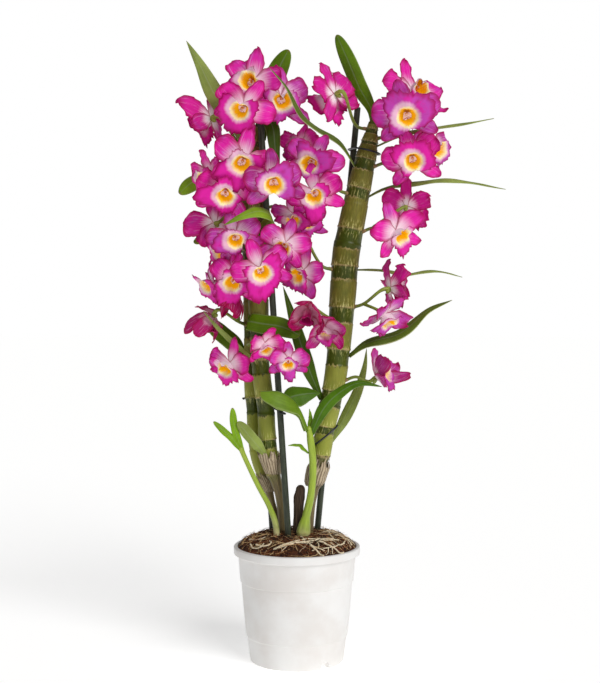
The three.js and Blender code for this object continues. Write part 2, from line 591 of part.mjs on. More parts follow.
// A band round its stems, sloped the way the wire lies.
function tieGeometry({ around, height, slope, open }) {
  const middle = sectionAt(around[0], height).x;
  const circles = around.flatMap((name) => {
    const { x, radius } = sectionAt(name, height);
    return [-radius, 0, radius].map((side) => sectionAt(name, height + slope * (x + side - middle)));
  });
  const bandShape = new THREE.Shape(tightOutline(circles, 3 * GAP + TIE_WIRE));
  bandShape.holes.push(new THREE.Path(tightOutline(circles, 3 * GAP)));
  let band = toSolid(new THREE.ExtrudeGeometry(bandShape, { depth: TIE_WIRE, bevelEnabled: false }));
  if (open) {
    const [from, to] = open;
    const front = circles[0].y - BAND_CLEAR;
    const cutter = new THREE.BoxGeometry(to - from, BAND_CLEAR, 4 * TIE_WIRE);
    band = band.subtract(toSolid(cutter.translate((from + to) / 2, front - BAND_CLEAR / 2, 0)));
  }
  const geometry = toGeometry(band).translate(0, 0, height);
  const place = geometry.getAttribute('position');
  for (let i = 0; i < place.count; i += 1) {
    place.setZ(i, place.getZ(i) + slope * (place.getX(i) - middle));
  }
  return weld(geometry);
}

// ---------------------------------------------------------------- leaves and shoots

// Half width of a strap leaf along its length, as a share of its widest place.
function leafShare(share, blunt) {
  const tip = blunt ? Math.min(1, 3.2 * (1 - share)) ** 0.5 : Math.min(1, 1.9 * (1 - share)) ** 0.8;
  return tip * Math.min(1, 0.26 + 2.1 * share);
}

const LEAF_STATIONS = [0, 0.2, 0.45, 0.72, 0.93];

function leafGeometry({ through, width, face, fold = 0.22, blunt = false }) {
  const curve = curveThrough(through);
  const rows = LEAF_STATIONS.map((share) => {
    const along = curve.getTangentAt(share);
    const across = new THREE.Vector3().crossVectors(along, vector(face)).normalize();
    const up = new THREE.Vector3().crossVectors(across, along);
    const reach = ((width / 2) * leafShare(share, blunt)) / Math.hypot(1, fold);
    const middle = curve.getPointAt(share);
    const low = middle.clone().addScaledVector(up, -fold * reach);
    const edge = (side) => low.clone().addScaledVector(across, side * reach);
    return [edge(-1), middle, edge(1)];
  });
  rows.push([curve.getPointAt(1)]);
  return thicken(sheet(rows), LEAF_THICKNESS);
}

// A point just off a cane's skin, and the way straight out from it there.
function onCane(name, height, azimuth) {
  const { x, y, radius } = sectionAt(name, height);
  const out = new THREE.Vector3(Math.cos(radians(azimuth)), Math.sin(radians(azimuth)), 0);
  const reach = radius + GAP + BASE_CLEAR;
  return { point: [x + out.x * reach, y + out.y * reach, height], out };
}

const caneRound = (name, grow = 0) => (
  roundByHeight(caneCurves[name], caneRings(name), CANES[name].sides, grow));
const caneSolids = Object.fromEntries(Object.keys(CANES).map((name) => [name, toSolid(caneRound(name))]));

// Slides a piece straight towards the cane that carries it, until it lies a gap away.
function seated(piece, name, out) {
  let placed = piece;
  for (let i = 0; i < SEAT_TRIES; i += 1) {
    const room = placed.minGap(caneSolids[name], SEAT_SEARCH) - GAP;
    placed = placed.translate(out.clone().multiplyScalar(-room).toArray());
  }
  return toGeometry(placed);
}

function caneLeaf({ on, through, ...shape }) {
  const { point, out } = onCane(...on);
  return seated(toSolid(leafGeometry({ through: [point, ...through], ...shape })), on[0], out);
}

function shootGeometry({ line, radii, leaves }) {
  const stem = roundByHeight(curveThrough(line), radii, SHOOT_SIDES);
  return toGeometry(fuse([toSolid(stem), ...leaves.map((leaf) => toSolid(leafGeometry(leaf)))]));
}

// ---------------------------------------------------------------- blooms

// Sepals (narrow, behind) and petals (broad, in front), anticlockwise from +X. joints
// are the angles at which neighbours meet round the bloom's heart.
const SEPAL = { length: SEPAL_LENGTH, width: SEPAL_WIDTH, shares: [0.84, 0.74], rise: 3, wave: 0 };
const PETAL = { length: PETAL_LENGTH, width: PETAL_WIDTH, shares: [0.88, 0.84], rise: 12, wave: 1.4 };
const TEPALS = [
  { ...PETAL, angle: 20, joints: [-9, 53] },
  { ...SEPAL, angle: 90, joints: [53, 127] },
  { ...PETAL, angle: 160, joints: [127, 189] },
  { ...SEPAL, angle: 217, joints: [189, 270] },
  { ...SEPAL, angle: 323, joints: [270, 351] },
];
const TEPAL_STATIONS = [0.42, 0.8];
const RUFFLES = [-0.2, 1];       // share of the wave, and its way, at each station
const HEART_RADIUS = 3;
const CUP_FOOT = 25;             // degrees that a closed bloom's tepals stand steeper at their feet
const CUP_CURL = 120;            // and degrees that they curl in from there to their tips
const CUPPED = 0.65;             // a bloom that is less open than this is a cup that hides its lip

const polar = (radius, degrees, z = 0) => new THREE.Vector3(
  radius * Math.cos(radians(degrees)), radius * Math.sin(radians(degrees)), z);

// The middle line of a sepal or petal that stands at an angle round the bloom.
function tepalPoint(angle, share, length, rise, closing) {
  const run = share * length - HEART_RADIUS * 0.7;
  const foot = radians(rise + CUP_FOOT * closing);
  const curl = radians(CUP_CURL * closing) / length;
  const lean = foot + curl * run;
  const out = curl ? (Math.sin(lean) - Math.sin(foot)) / curl : run * Math.cos(foot);
  const depth = curl ? (Math.cos(foot) - Math.cos(lean)) / curl : run * Math.sin(foot);
  return polar(HEART_RADIUS * 0.7 + out, angle, depth - 0.1 * share * run);
}

// One sepal or petal in the bloom's own frame: +Z the way it faces, +Y its top. On a
// cup, neighbours meet along their edges.
function tepalSheet({ angle, joints, length, width, shares, rise, wave }, closing) {
  const side = polar(1, angle + 90);
  const middle = (share) => tepalPoint(angle, share, length, rise, closing);
  const rows = TEPAL_STATIONS.map((share, i) => {
    const reach = (width / 2) * shares[i];
    const ruffle = wave * RUFFLES[i];
    const edge = (way) => middle(share).addScaledVector(side, way * reach)
      .add(new THREE.Vector3(0, 0, 0.1 * reach - way * ruffle));
    const seam = (joint) => tepalPoint(joint, share, PETAL_LENGTH, 0, closing);
    return 1 - closing < CUPPED ? [seam(joints[0]), middle(share), seam(joints[1])]
      : [edge(-1), middle(share), edge(1)];
  });
  const base = joints.map((joint) => polar(HEART_RADIUS, joint));
  return sheet([[new THREE.Vector3()], base, ...rows, [middle(1)]]);
}

// The lip: a ruffled funnel that opens forward and down.
function lip(open) {
  const sides = 5;
  const ring = (along, radius, ruffle, lean) => Array.from({ length: sides + 1 }, (_, i) => {
    const angle = (2 * Math.PI * (i + 0.5)) / sides;
    const lower = 1 - 0.16 * Math.sin(angle);
    const reach = radius * lower * (1 + (i % 2 ? ruffle : -ruffle));
    const depth = along * (1 + lean * Math.max(0, Math.sin(angle)));
    return new THREE.Vector3(reach * Math.cos(angle), reach * Math.sin(angle), depth);
  });
  const flare = LIP_RADIUS * (0.05 + 0.95 * open);
  const throat = ring(LIP_LENGTH * 0.8, 0.5 * flare, 0, 0);
  const rows = [[new THREE.Vector3()], throat, ring(LIP_LENGTH, flare, 0.06, HOOD_LEAN)];
  const funnel = thicken(mergeSheets([sheet(rows)]), PETAL_THICKNESS).rotateX(radians(LIP_TILT));
  return toSolid(funnel.translate(0, 0, 0.75 * PETAL_THICKNESS));
}

// Joins sheets along the corners they share.
const mergeSheets = (sheets) => mergeVertices(mergeGeometries(sheets), WELD);

// A whole bloom about the point where its pieces meet.
function bloomSolid(open) {
  const star = mergeSheets(TEPALS.map((tepal) => tepalSheet(tepal, 1 - open)));
  const tepals = toSolid(thicken(star, PETAL_THICKNESS));
  return open < CUPPED ? tepals : fuse([tepals, lip(open)]);
}

const bloomShapes = new Map();
function bloomOpened(open) {
  if (!bloomShapes.has(open)) bloomShapes.set(open, bloomSolid(open));
  return bloomShapes.get(open);
}

// The way a bloom faces: azimuth to the right of straight ahead (-Y), then upwards.
function facing([azimuth, elevation]) {
  const [turn, tilt] = [radians(azimuth), radians(elevation)];
  return new THREE.Vector3(Math.sin(turn) * Math.cos(tilt), -Math.cos(turn) * Math.cos(tilt), Math.sin(tilt));
}

function bloomPlace({ at, face, roll = 0, size = 1 }) {
  const forward = facing(face);
  const up = new THREE.Vector3(0, 0, 1).addScaledVector(forward, -forward.z).normalize();
  const right = new THREE.Vector3().crossVectors(up, forward);
  return new THREE.Matrix4().makeBasis(right, up, forward)
    .multiply(new THREE.Matrix4().makeRotationZ(radians(roll)))
    .scale(new THREE.Vector3(size, size, size))
    .setPosition(vector(at));
}

// A flower stalk: slim where it starts, swollen behind the bloom.
function stalk(points) {
  const curve = curveThrough(points.map((point) => point.toArray()));
  const last = points.length - 1;
  const lengths = curve.getLengths(last * STALK_FINENESS);
  const rings = points.map((_, i) => [lengths[i * STALK_FINENESS] / lengths[last * STALK_FINENESS],
    STALK_RADIUS + (i === last ? STALK_SWELL : 0)]);
  const run = points[last].clone().sub(points[0]);
  const reference = Math.abs(run.z) > Math.hypot(run.x, run.y) ? [0, 1, 0] : [0, 0, 1];
  return toSolid(bentRound(curve, rings, STALK_SIDES, vector(reference)));
}

// The first bloom's stalk starts at the cane; the others leave it at the fork.
function sprayGeometry({ on, blooms }) {
  const [cane, height, chosen] = on;
  const axis = sectionAt(cane, height);
  const middle = new THREE.Vector3();
  blooms.forEach(({ at }) => middle.addScaledVector(vector(at), 1 / blooms.length));
  const direct = Math.atan2(middle.y - axis.y, middle.x - axis.x);
  const azimuth = chosen ?? THREE.MathUtils.radToDeg(direct);
  const { point, out } = onCane(cane, height, azimuth);
  const foot = vector(point);
  const fork = foot.clone().addScaledVector(out, FORK_REACH).add(new THREE.Vector3(0, 0, FORK_RISE));
  const pieces = blooms.flatMap((bloom, i) => {
    const forward = facing(bloom.face);
    const back = vector(bloom.at).addScaledVector(forward, -BACK_REACH * (bloom.size ?? 1));
    const seat = vector(bloom.at).addScaledVector(forward, -0.2 * PETAL_THICKNESS);
    const start = i === 0 ? [foot, fork] : [fork.clone().addScaledVector(out, -STALK_RADIUS)];
    const opened = bloomOpened(bloom.open ?? 1);
    return [stalk([...start, back, seat]), opened.transform(bloomPlace(bloom).elements)];
  });
  return seated(fuse(pieces), cane, out);
}

// ---------------------------------------------------------------- assembly

const plant = new THREE.Group();

function addPiece(name, geometry, material) {
  const mesh = new THREE.Mesh(geometry, material);
  mesh.name = name;
  plant.add(mesh);
}

// The stems as round bodies, grown by a margin for the holes that they stand in.
const shootRound = ({ line, radii }, grow) => roundByHeight(curveThrough(line), radii, SHOOT_SIDES, grow);
const stubRound = (grow = 0) => roundByHeight(curveThrough(STUB.line), STUB.radii, STUB_SIDES, grow);
const standing = [
  ...Object.keys(CANES).map((name) => caneRound(name, HOLE)),
  ...Object.values(SHOOTS).map((shoot) => shootRound(shoot, HOLE)),
  stubRound(HOLE),
  ...Object.values(STAKES).map(([foot, top]) => rod(foot, top, STAKE_RADIUS + HOLE)),
].map(toSolid);

addPiece('pot', potGeometry(), FINISH.pot);
addPiece('substrate', coirGeometry(standing), FINISH.coir);
addPiece('surface_roots', toGeometry(fuse(ROOTS.map(rootSolid))), FINISH.root);
Object.entries(STAKES).forEach(([name, [foot, top]]) => {
  addPiece(name, rod(foot, top, STAKE_RADIUS), FINISH.stake);
});
Object.keys(CANES).forEach((name) => addPiece(name, caneRound(name), FINISH.cane));
addPiece('cane_old', stubRound(), FINISH.stub);
Object.entries(TIES).forEach(([name, tie]) => addPiece(name, tieGeometry(tie), FINISH.tie));
Object.entries(SHOOTS).forEach(([name, shoot]) => addPiece(name, shootGeometry(shoot), FINISH.shoot));
Object.entries(LEAVES).forEach(([name, leaf]) => addPiece(name, caneLeaf(leaf), FINISH.leaf));
Object.entries(SPRAYS).forEach(([name, spray]) => addPiece(name, sprayGeometry(spray), FINISH.bloom));

export default plant;
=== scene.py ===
import math
import random
from bisect import bisect_left

import bmesh
import bpy
from bpy.props import FloatProperty, FloatVectorProperty, IntProperty, PointerProperty
from bpy.types import Operator, Panel, PropertyGroup
from mathutils import Matrix, Vector, noise
from mathutils.geometry import convex_hull_2d


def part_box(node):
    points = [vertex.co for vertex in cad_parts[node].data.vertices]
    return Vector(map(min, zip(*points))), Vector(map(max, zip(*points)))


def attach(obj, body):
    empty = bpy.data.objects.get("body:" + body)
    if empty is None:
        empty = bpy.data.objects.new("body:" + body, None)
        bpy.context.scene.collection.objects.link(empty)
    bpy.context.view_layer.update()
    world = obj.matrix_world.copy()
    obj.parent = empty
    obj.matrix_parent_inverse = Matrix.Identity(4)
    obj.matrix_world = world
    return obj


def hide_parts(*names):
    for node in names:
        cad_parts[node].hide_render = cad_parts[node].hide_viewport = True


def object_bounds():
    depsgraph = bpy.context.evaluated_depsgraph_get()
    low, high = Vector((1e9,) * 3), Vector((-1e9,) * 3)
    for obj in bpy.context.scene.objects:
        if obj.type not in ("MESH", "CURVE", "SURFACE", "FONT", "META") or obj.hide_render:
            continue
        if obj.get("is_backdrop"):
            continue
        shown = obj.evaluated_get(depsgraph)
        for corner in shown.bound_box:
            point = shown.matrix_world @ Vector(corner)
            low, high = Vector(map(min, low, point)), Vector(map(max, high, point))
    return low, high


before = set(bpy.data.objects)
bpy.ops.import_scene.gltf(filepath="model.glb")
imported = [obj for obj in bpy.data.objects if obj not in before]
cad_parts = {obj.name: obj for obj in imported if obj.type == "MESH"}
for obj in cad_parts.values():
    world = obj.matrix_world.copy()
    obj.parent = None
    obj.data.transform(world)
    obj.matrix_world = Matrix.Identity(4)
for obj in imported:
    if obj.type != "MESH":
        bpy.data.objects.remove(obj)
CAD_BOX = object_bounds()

bl_info = {
    "name": "Potted Dendrobium",
    "version": (1, 0, 0),
    "blender": (4, 5, 0),
    "location": "View3D > Sidebar > Dendrobium",
    "description": "A flowering dendrobium orchid in its nursery pot, piece by piece",
    "category": "Add Mesh",
}

# The plant stands on Z = 0 with +X to the right and +Y to the back. The tables below are
# in millimetres; everything built from them is in metres.
MM = 0.001
TAU = math.tau

BODY = "root"                    # the one body that every piece rides on

# ------------------------------------------------------------------ the plant's own places

# Canes: the centre line from the base up, the heights of the nodes, and the radius at
# chosen heights.
CANES = {
    "cane_left": dict(line=[(-17, 8, 94), (-19, 9, 130), (-24, 10, 150), (-30, 12, 168),
        (-36, 13, 184), (-40, 13, 205), (-42, 14, 240), (-44, 15, 265), (-44, 16, 300),
        (-45, 17, 350), (-46, 17, 400), (-48, 16, 445), (-48, 15, 480), (-46, 14, 502)],
        nodes=(176, 215, 251, 286, 321, 357, 393, 428, 460, 486), radii=[(94, 2.4), (150, 2.8),
        (161, 4.2), (174, 5), (198, 6.6), (240, 6.8), (400, 6.8), (445, 6), (486, 4.6), (502, 3)]),
    "cane_middle": dict(line=[(-13, 1, 94), (-14, 1, 128), (-16, 0, 150), (-19, -1, 168),
        (-24, -1, 184), (-28, -1, 212), (-30, -1, 245), (-34, -1, 275), (-36, -1, 320),
        (-37, -1, 365), (-38, -1, 415), (-38, -1, 450), (-37, -1, 485), (-35, -1, 516)],
        nodes=(179, 212, 253, 288, 323, 359, 395, 431, 465, 495), radii=[(94, 3.2), (160, 3.8),
        (168, 5.2), (176, 5.8), (192, 8), (240, 8.2), (300, 8.6), (345, 9.4), (400, 8.6),
        (440, 7.6), (480, 6.8), (505, 5), (516, 3)]),
    "cane_right": dict(line=[(11, 4, 94), (12, 4, 125), (14, 4, 150), (18, 4, 174), (23, 4, 192),
        (27, 5, 222), (33, 5, 250), (38, 6, 278), (41, 7, 310), (44, 8, 348), (47, 8, 388),
        (53, 8, 420), (58, 8, 446), (64, 8, 472), (70, 8, 498), (74, 8, 518)],
        nodes=(196, 224, 258, 298, 338, 378, 413, 452, 480, 496, 508), radii=[(94, 3.6), (150, 3.8),
        (164, 5.4), (171, 8.8), (184, 9.2), (190, 6.4), (198, 8.6), (225, 9.6), (250, 10.2),
        (290, 10.6), (330, 12), (365, 12.6), (400, 12.8), (445, 11.6), (470, 10.2), (488, 9),
        (502, 6.4), (518, 3.6)]),
}

# Stakes: foot and top of each straight stick.
STAKES = {
    "stake_middle": [(-6, -13, 90), (-35, -13, 528)],
    "stake_right": [(17, 17.5, 90), (59, 30, 532)],
    "stake_left": [(-22, 20, 90), (-46, 30, 462)],
}

# Ties: the stems that each wire holds, its height at the first of them, how far it climbs for
# each millimetre to the right, and the stretch of X over which an open clip has no front.
TIES = {
    "tie_left": dict(around=("cane_left", "cane_middle", "stake_middle"), height=246, slope=-0.3,
        open=(-42, -27)),
    "tie_right_low": dict(around=("cane_right", "stake_right"), height=213, slope=0.8),
    "tie_right_top": dict(around=("cane_right", "stake_right"), height=486, slope=-0.24),
}

# Leaves: each one starts on a cane at a height and an azimuth, and runs through the points to
# its tip. width is the widest place, face the way the upper side looks, fold how far the halves
# are folded, foot the share of the width that the leaf has where it starts, and neck the share
# of its length that stays as narrow as that. A blunt leaf has a round tip. finish is its look.
LEAVES = {
    "leaf_tip_left": dict(on=("cane_left", 492, 150), through=[(-60, 6, 516), (-78, -4, 540),
        (-92, -6, 568), (-104, -6, 589)], width=22, face=(-0.3, -1, 0.2), finish="grey"),
    "leaf_tip_middle": dict(on=("cane_middle", 508, 60), through=[(-28, 8, 536), (-20, 11, 560),
        (-8, 12, 584)], width=20, face=(0.2, -1, 0.2), blunt=True, finish="mid"),
    "leaf_arch": dict(on=("cane_right", 472, -150), through=[(41, -14, 492), (19, -26, 504),
        (4, -34, 516), (-10, -44, 540), (-25, -46, 557)], width=8, face=(0.3, -0.8, 0.6),
        finish="striped"),
    "leaf_tip_right": dict(on=("cane_right", 514, 100), through=[(71, 14, 528), (60, 15, 549),
        (49, 13, 574), (38, 11, 598)], width=16, face=(-0.3, -1, -0.1), blunt=True, finish="mid"),
    "leaf_short_right": dict(on=("cane_right", 510, 30), through=[(92, 14, 540), (102, 16, 552),
        (109, 17, 561)], width=7, face=(-0.4, -0.9, 0.4), finish="mid"),
    "leaf_upper_right": dict(on=("cane_right", 492, 20), through=[(104, 18, 505), (128, 20, 510),
        (152, 18, 513), (189, 14, 519)], width=6.5, face=(0, -0.6, 0.8), finish="grey"),
    "leaf_middle_right": dict(on=("cane_right", 444, 15), through=[(84, 14, 452), (110, 18, 457),
        (150, 15, 460), (200, 10, 451)], width=8, face=(0, -0.6, 0.8), finish="grey"),
    "leaf_lower_right": dict(on=("cane_right", 374, 15), through=[(80, 16, 374), (105, 20, 370),
        (135, 20, 373), (160, 18, 367)], width=6.5, face=(0, -0.6, 0.8), finish="grey"),
    "leaf_broad_right": dict(on=("cane_right", 291, -10), through=[(66, 6, 303), (100, 11, 313),
        (126, 7, 335), (148, -1, 345)], width=15, face=(-0.4, -0.8, 0.6), finish="striped"),
    "leaf_grey_right": dict(on=("cane_right", 206, 40), through=[(46, 20, 229), (59, 23, 256),
        (66, 25, 280), (68, 25, 298)], width=13, face=(-0.3, -1, 0), finish="grey"),
    "leaf_dark_inner": dict(on=("cane_right", 250, -160), through=[(12, -4, 278), (3, -10, 306),
        (-6, -15, 336), (-13, -13, 358)], width=17, face=(0.25, -1, 0.1), finish="dark"),
    "leaf_fold_middle": dict(on=("cane_middle", 322, -160), through=[(-46, -15, 325),
        (-33, -19, 323), (-14, -22, 320), (3, -22, 312)], width=19,
        face=(0, -1, 0.25), foot=0.8, blunt=True, finish="mid"),
    "leaf_over_middle": dict(on=("cane_middle", 404, -95), through=[(-37, -19, 409),
        (-23, -32, 421), (-34, -51, 426), (-50, -58, 421), (-66, -58, 413)],
        width=17, face=(0.1, -1, 0.5), finish="light"),
    "leaf_round_left": dict(on=("cane_left", 450, 165), through=[(-76, 18, 458), (-98, 14, 459),
        (-113, 12, 447)], width=20, face=(0, -0.8, 0.6), blunt=True, finish="light"),
    "leaf_side_left": dict(on=("cane_left", 392, 165), through=[(-70, 15, 402), (-86, 12, 406),
        (-99, 10, 400)], width=14, face=(0, -0.8, 0.6), blunt=True, finish="light"),
    "leaf_strap_middle": dict(on=("cane_middle", 496, -25), through=[(-29, -9, 516),
        (-23, -13, 508), (-20, -15, 482), (-17, -16, 456)], width=16,
        face=(0.4, -1, 0.3), finish="dark"),
    "leaf_low_left": dict(on=("cane_middle", 290, -165), through=[(-56, -8, 301), (-68, -12, 312),
        (-80, -15, 325), (-88, -16, 335)], width=6, face=(-0.3, -1, 0.3), finish="grey"),
    "leaf_low_left_dark": dict(on=("cane_left", 286, 150), through=[(-60, 22, 301), (-74, 24, 313),
        (-88, 24, 326)], width=17, face=(-0.2, -1, 0.4), blunt=True, finish="mid"),
    "leaf_grey_left": dict(on=("cane_middle", 196, -110), through=[(-36, -14, 206), (-46, -14, 218),
        (-56, -13, 230)], width=12, face=(-0.2, -1, 0), blunt=True, finish="grey"),
}

# Sprays: where each one leaves its cane, and its blooms: where the bloom sits, the way it faces
# (azimuth to the right of straight ahead, then up), its turn, its size, and how far it is open.
# apron is the angle on the bloom's face at which its lip is longest, and limb the lip's breadth.
SPRAYS = {
    "spray_left_top": dict(on=("cane_left", 488), blooms=[
        dict(at=(-82, 4, 518), face=(-125, -5), roll=10, size=1.2, open=0.8),
        dict(at=(-49, -44, 520), face=(-8, -6), roll=-35, size=1.05)]),
    "spray_left_2": dict(on=("cane_left", 460), blooms=[
        dict(at=(-81, -14, 461), face=(-55, -4), roll=8, size=0.9),
        dict(at=(-66, -38, 444), face=(8, -10), roll=-10, apron=190)]),
    "spray_left_3": dict(on=("cane_left", 426), blooms=[
        dict(at=(-78, 1, 418), face=(-148, -5), roll=-12, size=1.05)]),
    "spray_left_4": dict(on=("cane_left", 393), blooms=[
        dict(at=(-67, -17, 392), face=(-50, -8), roll=-30, size=0.85)]),
    "spray_left_5": dict(on=("cane_left", 357), blooms=[
        dict(at=(-80, -6, 362), face=(-62, -14), roll=20, size=0.85),
        dict(at=(-58, -33, 364), face=(-10, -10), roll=-10, size=0.95)]),
    "spray_left_6": dict(on=("cane_left", 321), blooms=[
        dict(at=(-80, -4, 330), face=(-130, -40), roll=15, size=1.15, open=0.4),
        dict(at=(-60, -16, 351), face=(-30, -65), roll=0, size=0.95, open=0.2)]),
    "spray_left_7": dict(on=("cane_left", 278, -140), blooms=[
        dict(at=(-62, -26, 285), face=(-34, -10), roll=-14, size=0.9, limb=0.8)]),
    "spray_middle_top": dict(on=("cane_middle", 510, 20), blooms=[
        dict(at=(-42, -24, 546), face=(-8, 18), roll=-20, size=1.1, limb=0.8),
        dict(at=(-15, -22, 531), face=(12, 4), roll=0, size=1.1, limb=0.75)]),
    "spray_middle_2": dict(on=("cane_middle", 465, -110), blooms=[
        dict(at=(-50, -45, 472), face=(6, -6), roll=-20, size=1.1),
        dict(at=(-21, -50, 453), face=(0, -8), roll=10, size=1.05, apron=50, limb=0.95)]),
    "spray_middle_3": dict(on=("cane_middle", 431, 32), blooms=[
        dict(at=(-3, -10, 425), face=(-10, -25), roll=10, size=0.8)]),
    "spray_middle_4": dict(on=("cane_middle", 395, -120), blooms=[
        dict(at=(-56, -38, 403), face=(-6, -8), roll=22, size=0.95, apron=160, limb=0.85),
        dict(at=(-11, -36, 396), face=(-10, -6), roll=-15, size=0.9, limb=0.75)]),
    "spray_middle_5": dict(on=("cane_middle", 359), blooms=[
        dict(at=(-33, -50, 373), face=(4, -8), roll=20, apron=-80, limb=1.1)]),
    "spray_middle_6": dict(on=("cane_middle", 300, -125), blooms=[
        dict(at=(-30, -38, 304), face=(25, -25), roll=0, size=0.8, open=0.7)]),
    "spray_middle_7": dict(on=("cane_middle", 300, 20), blooms=[
        dict(at=(-8, -33, 289), face=(0, -14), roll=0, size=0.75, open=0.8)]),
    "spray_right_top": dict(on=("cane_right", 508, 160), blooms=[
        dict(at=(36, -12, 538), face=(-135, -10), roll=-20, size=1.15)]),
    "spray_right_2": dict(on=("cane_right", 498), blooms=[
        dict(at=(110, -2, 540), face=(34, 36), roll=-6, size=1.25, open=0.75, limb=0.5),
        dict(at=(102, -30, 516), face=(-6, -2), roll=10, size=1.15, apron=80, limb=1.1)]),
    "spray_right_3": dict(on=("cane_right", 472), blooms=[
        dict(at=(108, -20, 477), face=(-4, -6), roll=15, size=1.05, apron=75),
        dict(at=(128, 6, 489), face=(44, 8), roll=10, size=1.05, limb=0.7)]),
    "spray_right_inner": dict(on=("cane_right", 446), blooms=[
        dict(at=(14, -30, 473), face=(-14, -4), roll=-25, apron=60),
        dict(at=(17, -34, 444), face=(-10, -10), roll=15, limb=0.85),
        dict(at=(5, 6, 491), face=(-30, 6), roll=0, size=0.85)]),
    "spray_right_4": dict(on=("cane_right", 410), blooms=[
        dict(at=(92, -24, 408), face=(34, -8), roll=20, limb=0.7),
        dict(at=(105, 6, 434), face=(150, 6), roll=0, size=0.95)]),
    "spray_right_inner_2": dict(on=("cane_right", 374), blooms=[
        dict(at=(8, 11, 418), face=(20, 20), roll=10, size=0.8, open=0.8),
        dict(at=(6, -20, 371), face=(-36, -6), roll=-20, size=0.95, limb=0.85)]),
    "spray_right_5": dict(on=("cane_right", 338), blooms=[
        dict(at=(89, -4, 356), face=(112, 8), roll=-25, size=1.1, open=0.75),
        dict(at=(82, -16, 331), face=(54, -34), roll=-15, size=1.0, open=0.75)]),
    "spray_right_inner_3": dict(on=("cane_right", 326, -130), blooms=[
        dict(at=(11, -27, 335), face=(-16, -28), roll=0, size=1.1, open=0.25),
        dict(at=(27, -25, 318), face=(-4, -24), roll=0, size=0.95, open=0.5)]),
    "spray_right_6": dict(on=("cane_right", 268), blooms=[
        dict(at=(76, -5, 272), face=(66, 30), roll=0, size=1.15, open=0.6)]),
}

# Young shoots: the stem and its leaves.
SHOOTS = {
    "shoot_right": dict(line=[(6, -10, 94), (6, -10, 122), (9, -11, 140), (13, -12, 158),
        (15, -12, 176), (15, -12, 195), (13, -12, 212), (11, -12, 226)],
        radii=[(94, 3.4), (116, 4.6), (124, 6.8), (131, 5.8), (139, 3.9), (176, 3.4),
        (212, 3.5), (226, 2.2)],
        leaves=[dict(through=[(11, -12, 222), (3, -18, 242), (-6, -26, 254), (-18, -30, 260),
        (-35, -32, 260)], width=40, face=(0, -0.1, 1), fold=1.6, neck=0.2, blunt=True),
        dict(through=[(-12, -24, 250), (-4, -18, 254), (8, -12, 256), (22, -10, 257)], width=26,
        face=(0, -0.9, 0.5)), dict(through=[(12, -12, 214), (25, -15, 242), (38, -17, 256),
        (58, -20, 267), (80, -24, 264)], width=14, face=(0.2, -0.9, 0.5)),
        dict(through=[(11, -12, 200), (2, -16, 208), (-8, -18, 208)], width=6, face=(0, -0.6, 0.8)),
        dict(through=[(11, -11, 222), (13, -9, 232), (12, -9, 242)], width=5, face=(0, -1, 0))]),
    "shoot_left": dict(line=[(-19, -7, 94), (-20, -8, 130), (-26, -9, 148), (-37, -10, 169),
        (-47, -10, 190), (-54, -10, 206)], radii=[(94, 2.8), (124, 3.1), (150, 2.5), (190, 2.3),
        (206, 2.4)], leaves=[dict(through=[(-50, -10, 198), (-60, -11, 212), (-69, -12, 221),
        (-79, -12, 230)], width=6.5, face=(0.3, -1, 0.2), blunt=True),
        dict(through=[(-50, -10, 200), (-57, -11, 216), (-60, -11, 230), (-61, -11, 243)],
        width=7.5, face=(0, -1, 0), blunt=True)]),
}

# The foot of an old cane that has dried up.
STUB = dict(line=[(1, 0, 94), (1, 0, 125), (2, 0, 150), (4, 0, 168)],
            radii=[(94, 4), (122, 4.8), (142, 4.2), (156, 5.2), (168, 3.4)])

# The main roots on the coir, as plan routes.
ROOTS = [
    dict(radius=1.3, route=[(-22, -46), (-8, -40), (10, -30), (26, -24), (40, -20)]),
    dict(radius=1.3, route=[(4, -22), (6, -28), (8, -36), (16, -43), (26, -45)]),
    dict(radius=1.2, route=[(36, -22), (32, -8), (30, 8), (24, 26), (14, 40)]),
    dict(radius=1.2, route=[(30, 10), (40, 4), (46, -8), (44, -22), (36, -34), (24, -44)]),
    dict(radius=1.1, route=[(46, -8), (49, 6), (45, 22), (36, 35)]),
    dict(radius=1.1, route=[(30, 8), (38, 20), (40, 31), (30, 42)]),
]

# Colours of each look of a leaf: its upper side, then its underside.
LEAF_LOOKS = {
    "light": ("7c9c22", "93ab3a"),
    "mid": ("58790a", "7c9234"),
    "dark": ("405c06", "5f7a20"),
    "grey": ("8f9f4e", "98a468"),
    "striped": ("5c6f22", "aeb57c"),
    "young": ("7ca41a", "94b43c"),
    "broad": ("6c8c22", "7c9a34"),
    # The next look is a darker green: painted shade on the shoot leaves that wear it.
    "shaded_green": ("4c7210", "6c8a2c"),
}
LEAF_MARGIN = "c9cf94"           # colours of a leaf's pale edge and its dry tip
LEAF_DRY_TIP = "8d7440"


# ------------------------------------------------------------------ settings

def rgb(code):
    """The linear colour of a hex code."""
    parts = [int(code[i:i + 2], 16) / 255 for i in (0, 2, 4)]
    return tuple(((part + 0.055) / 1.055) ** 2.4 for part in parts)


def length(name, description, default):
    return FloatProperty(name=name, description=description, default=default, min=0.0,
                         precision=4, subtype="DISTANCE", unit="LENGTH")


def colour(name, description, code):
    return FloatVectorProperty(name=name, description=description, default=rgb(code), size=3,
                               min=0.0, max=1.0, subtype="COLOR")


def amount(name, description, default):
    return FloatProperty(name=name, description=description, default=default, min=0.0)


def number(name, description, default):
    return IntProperty(name=name, description=description, default=default, min=0)


POT_LOW, POT_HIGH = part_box("pot")


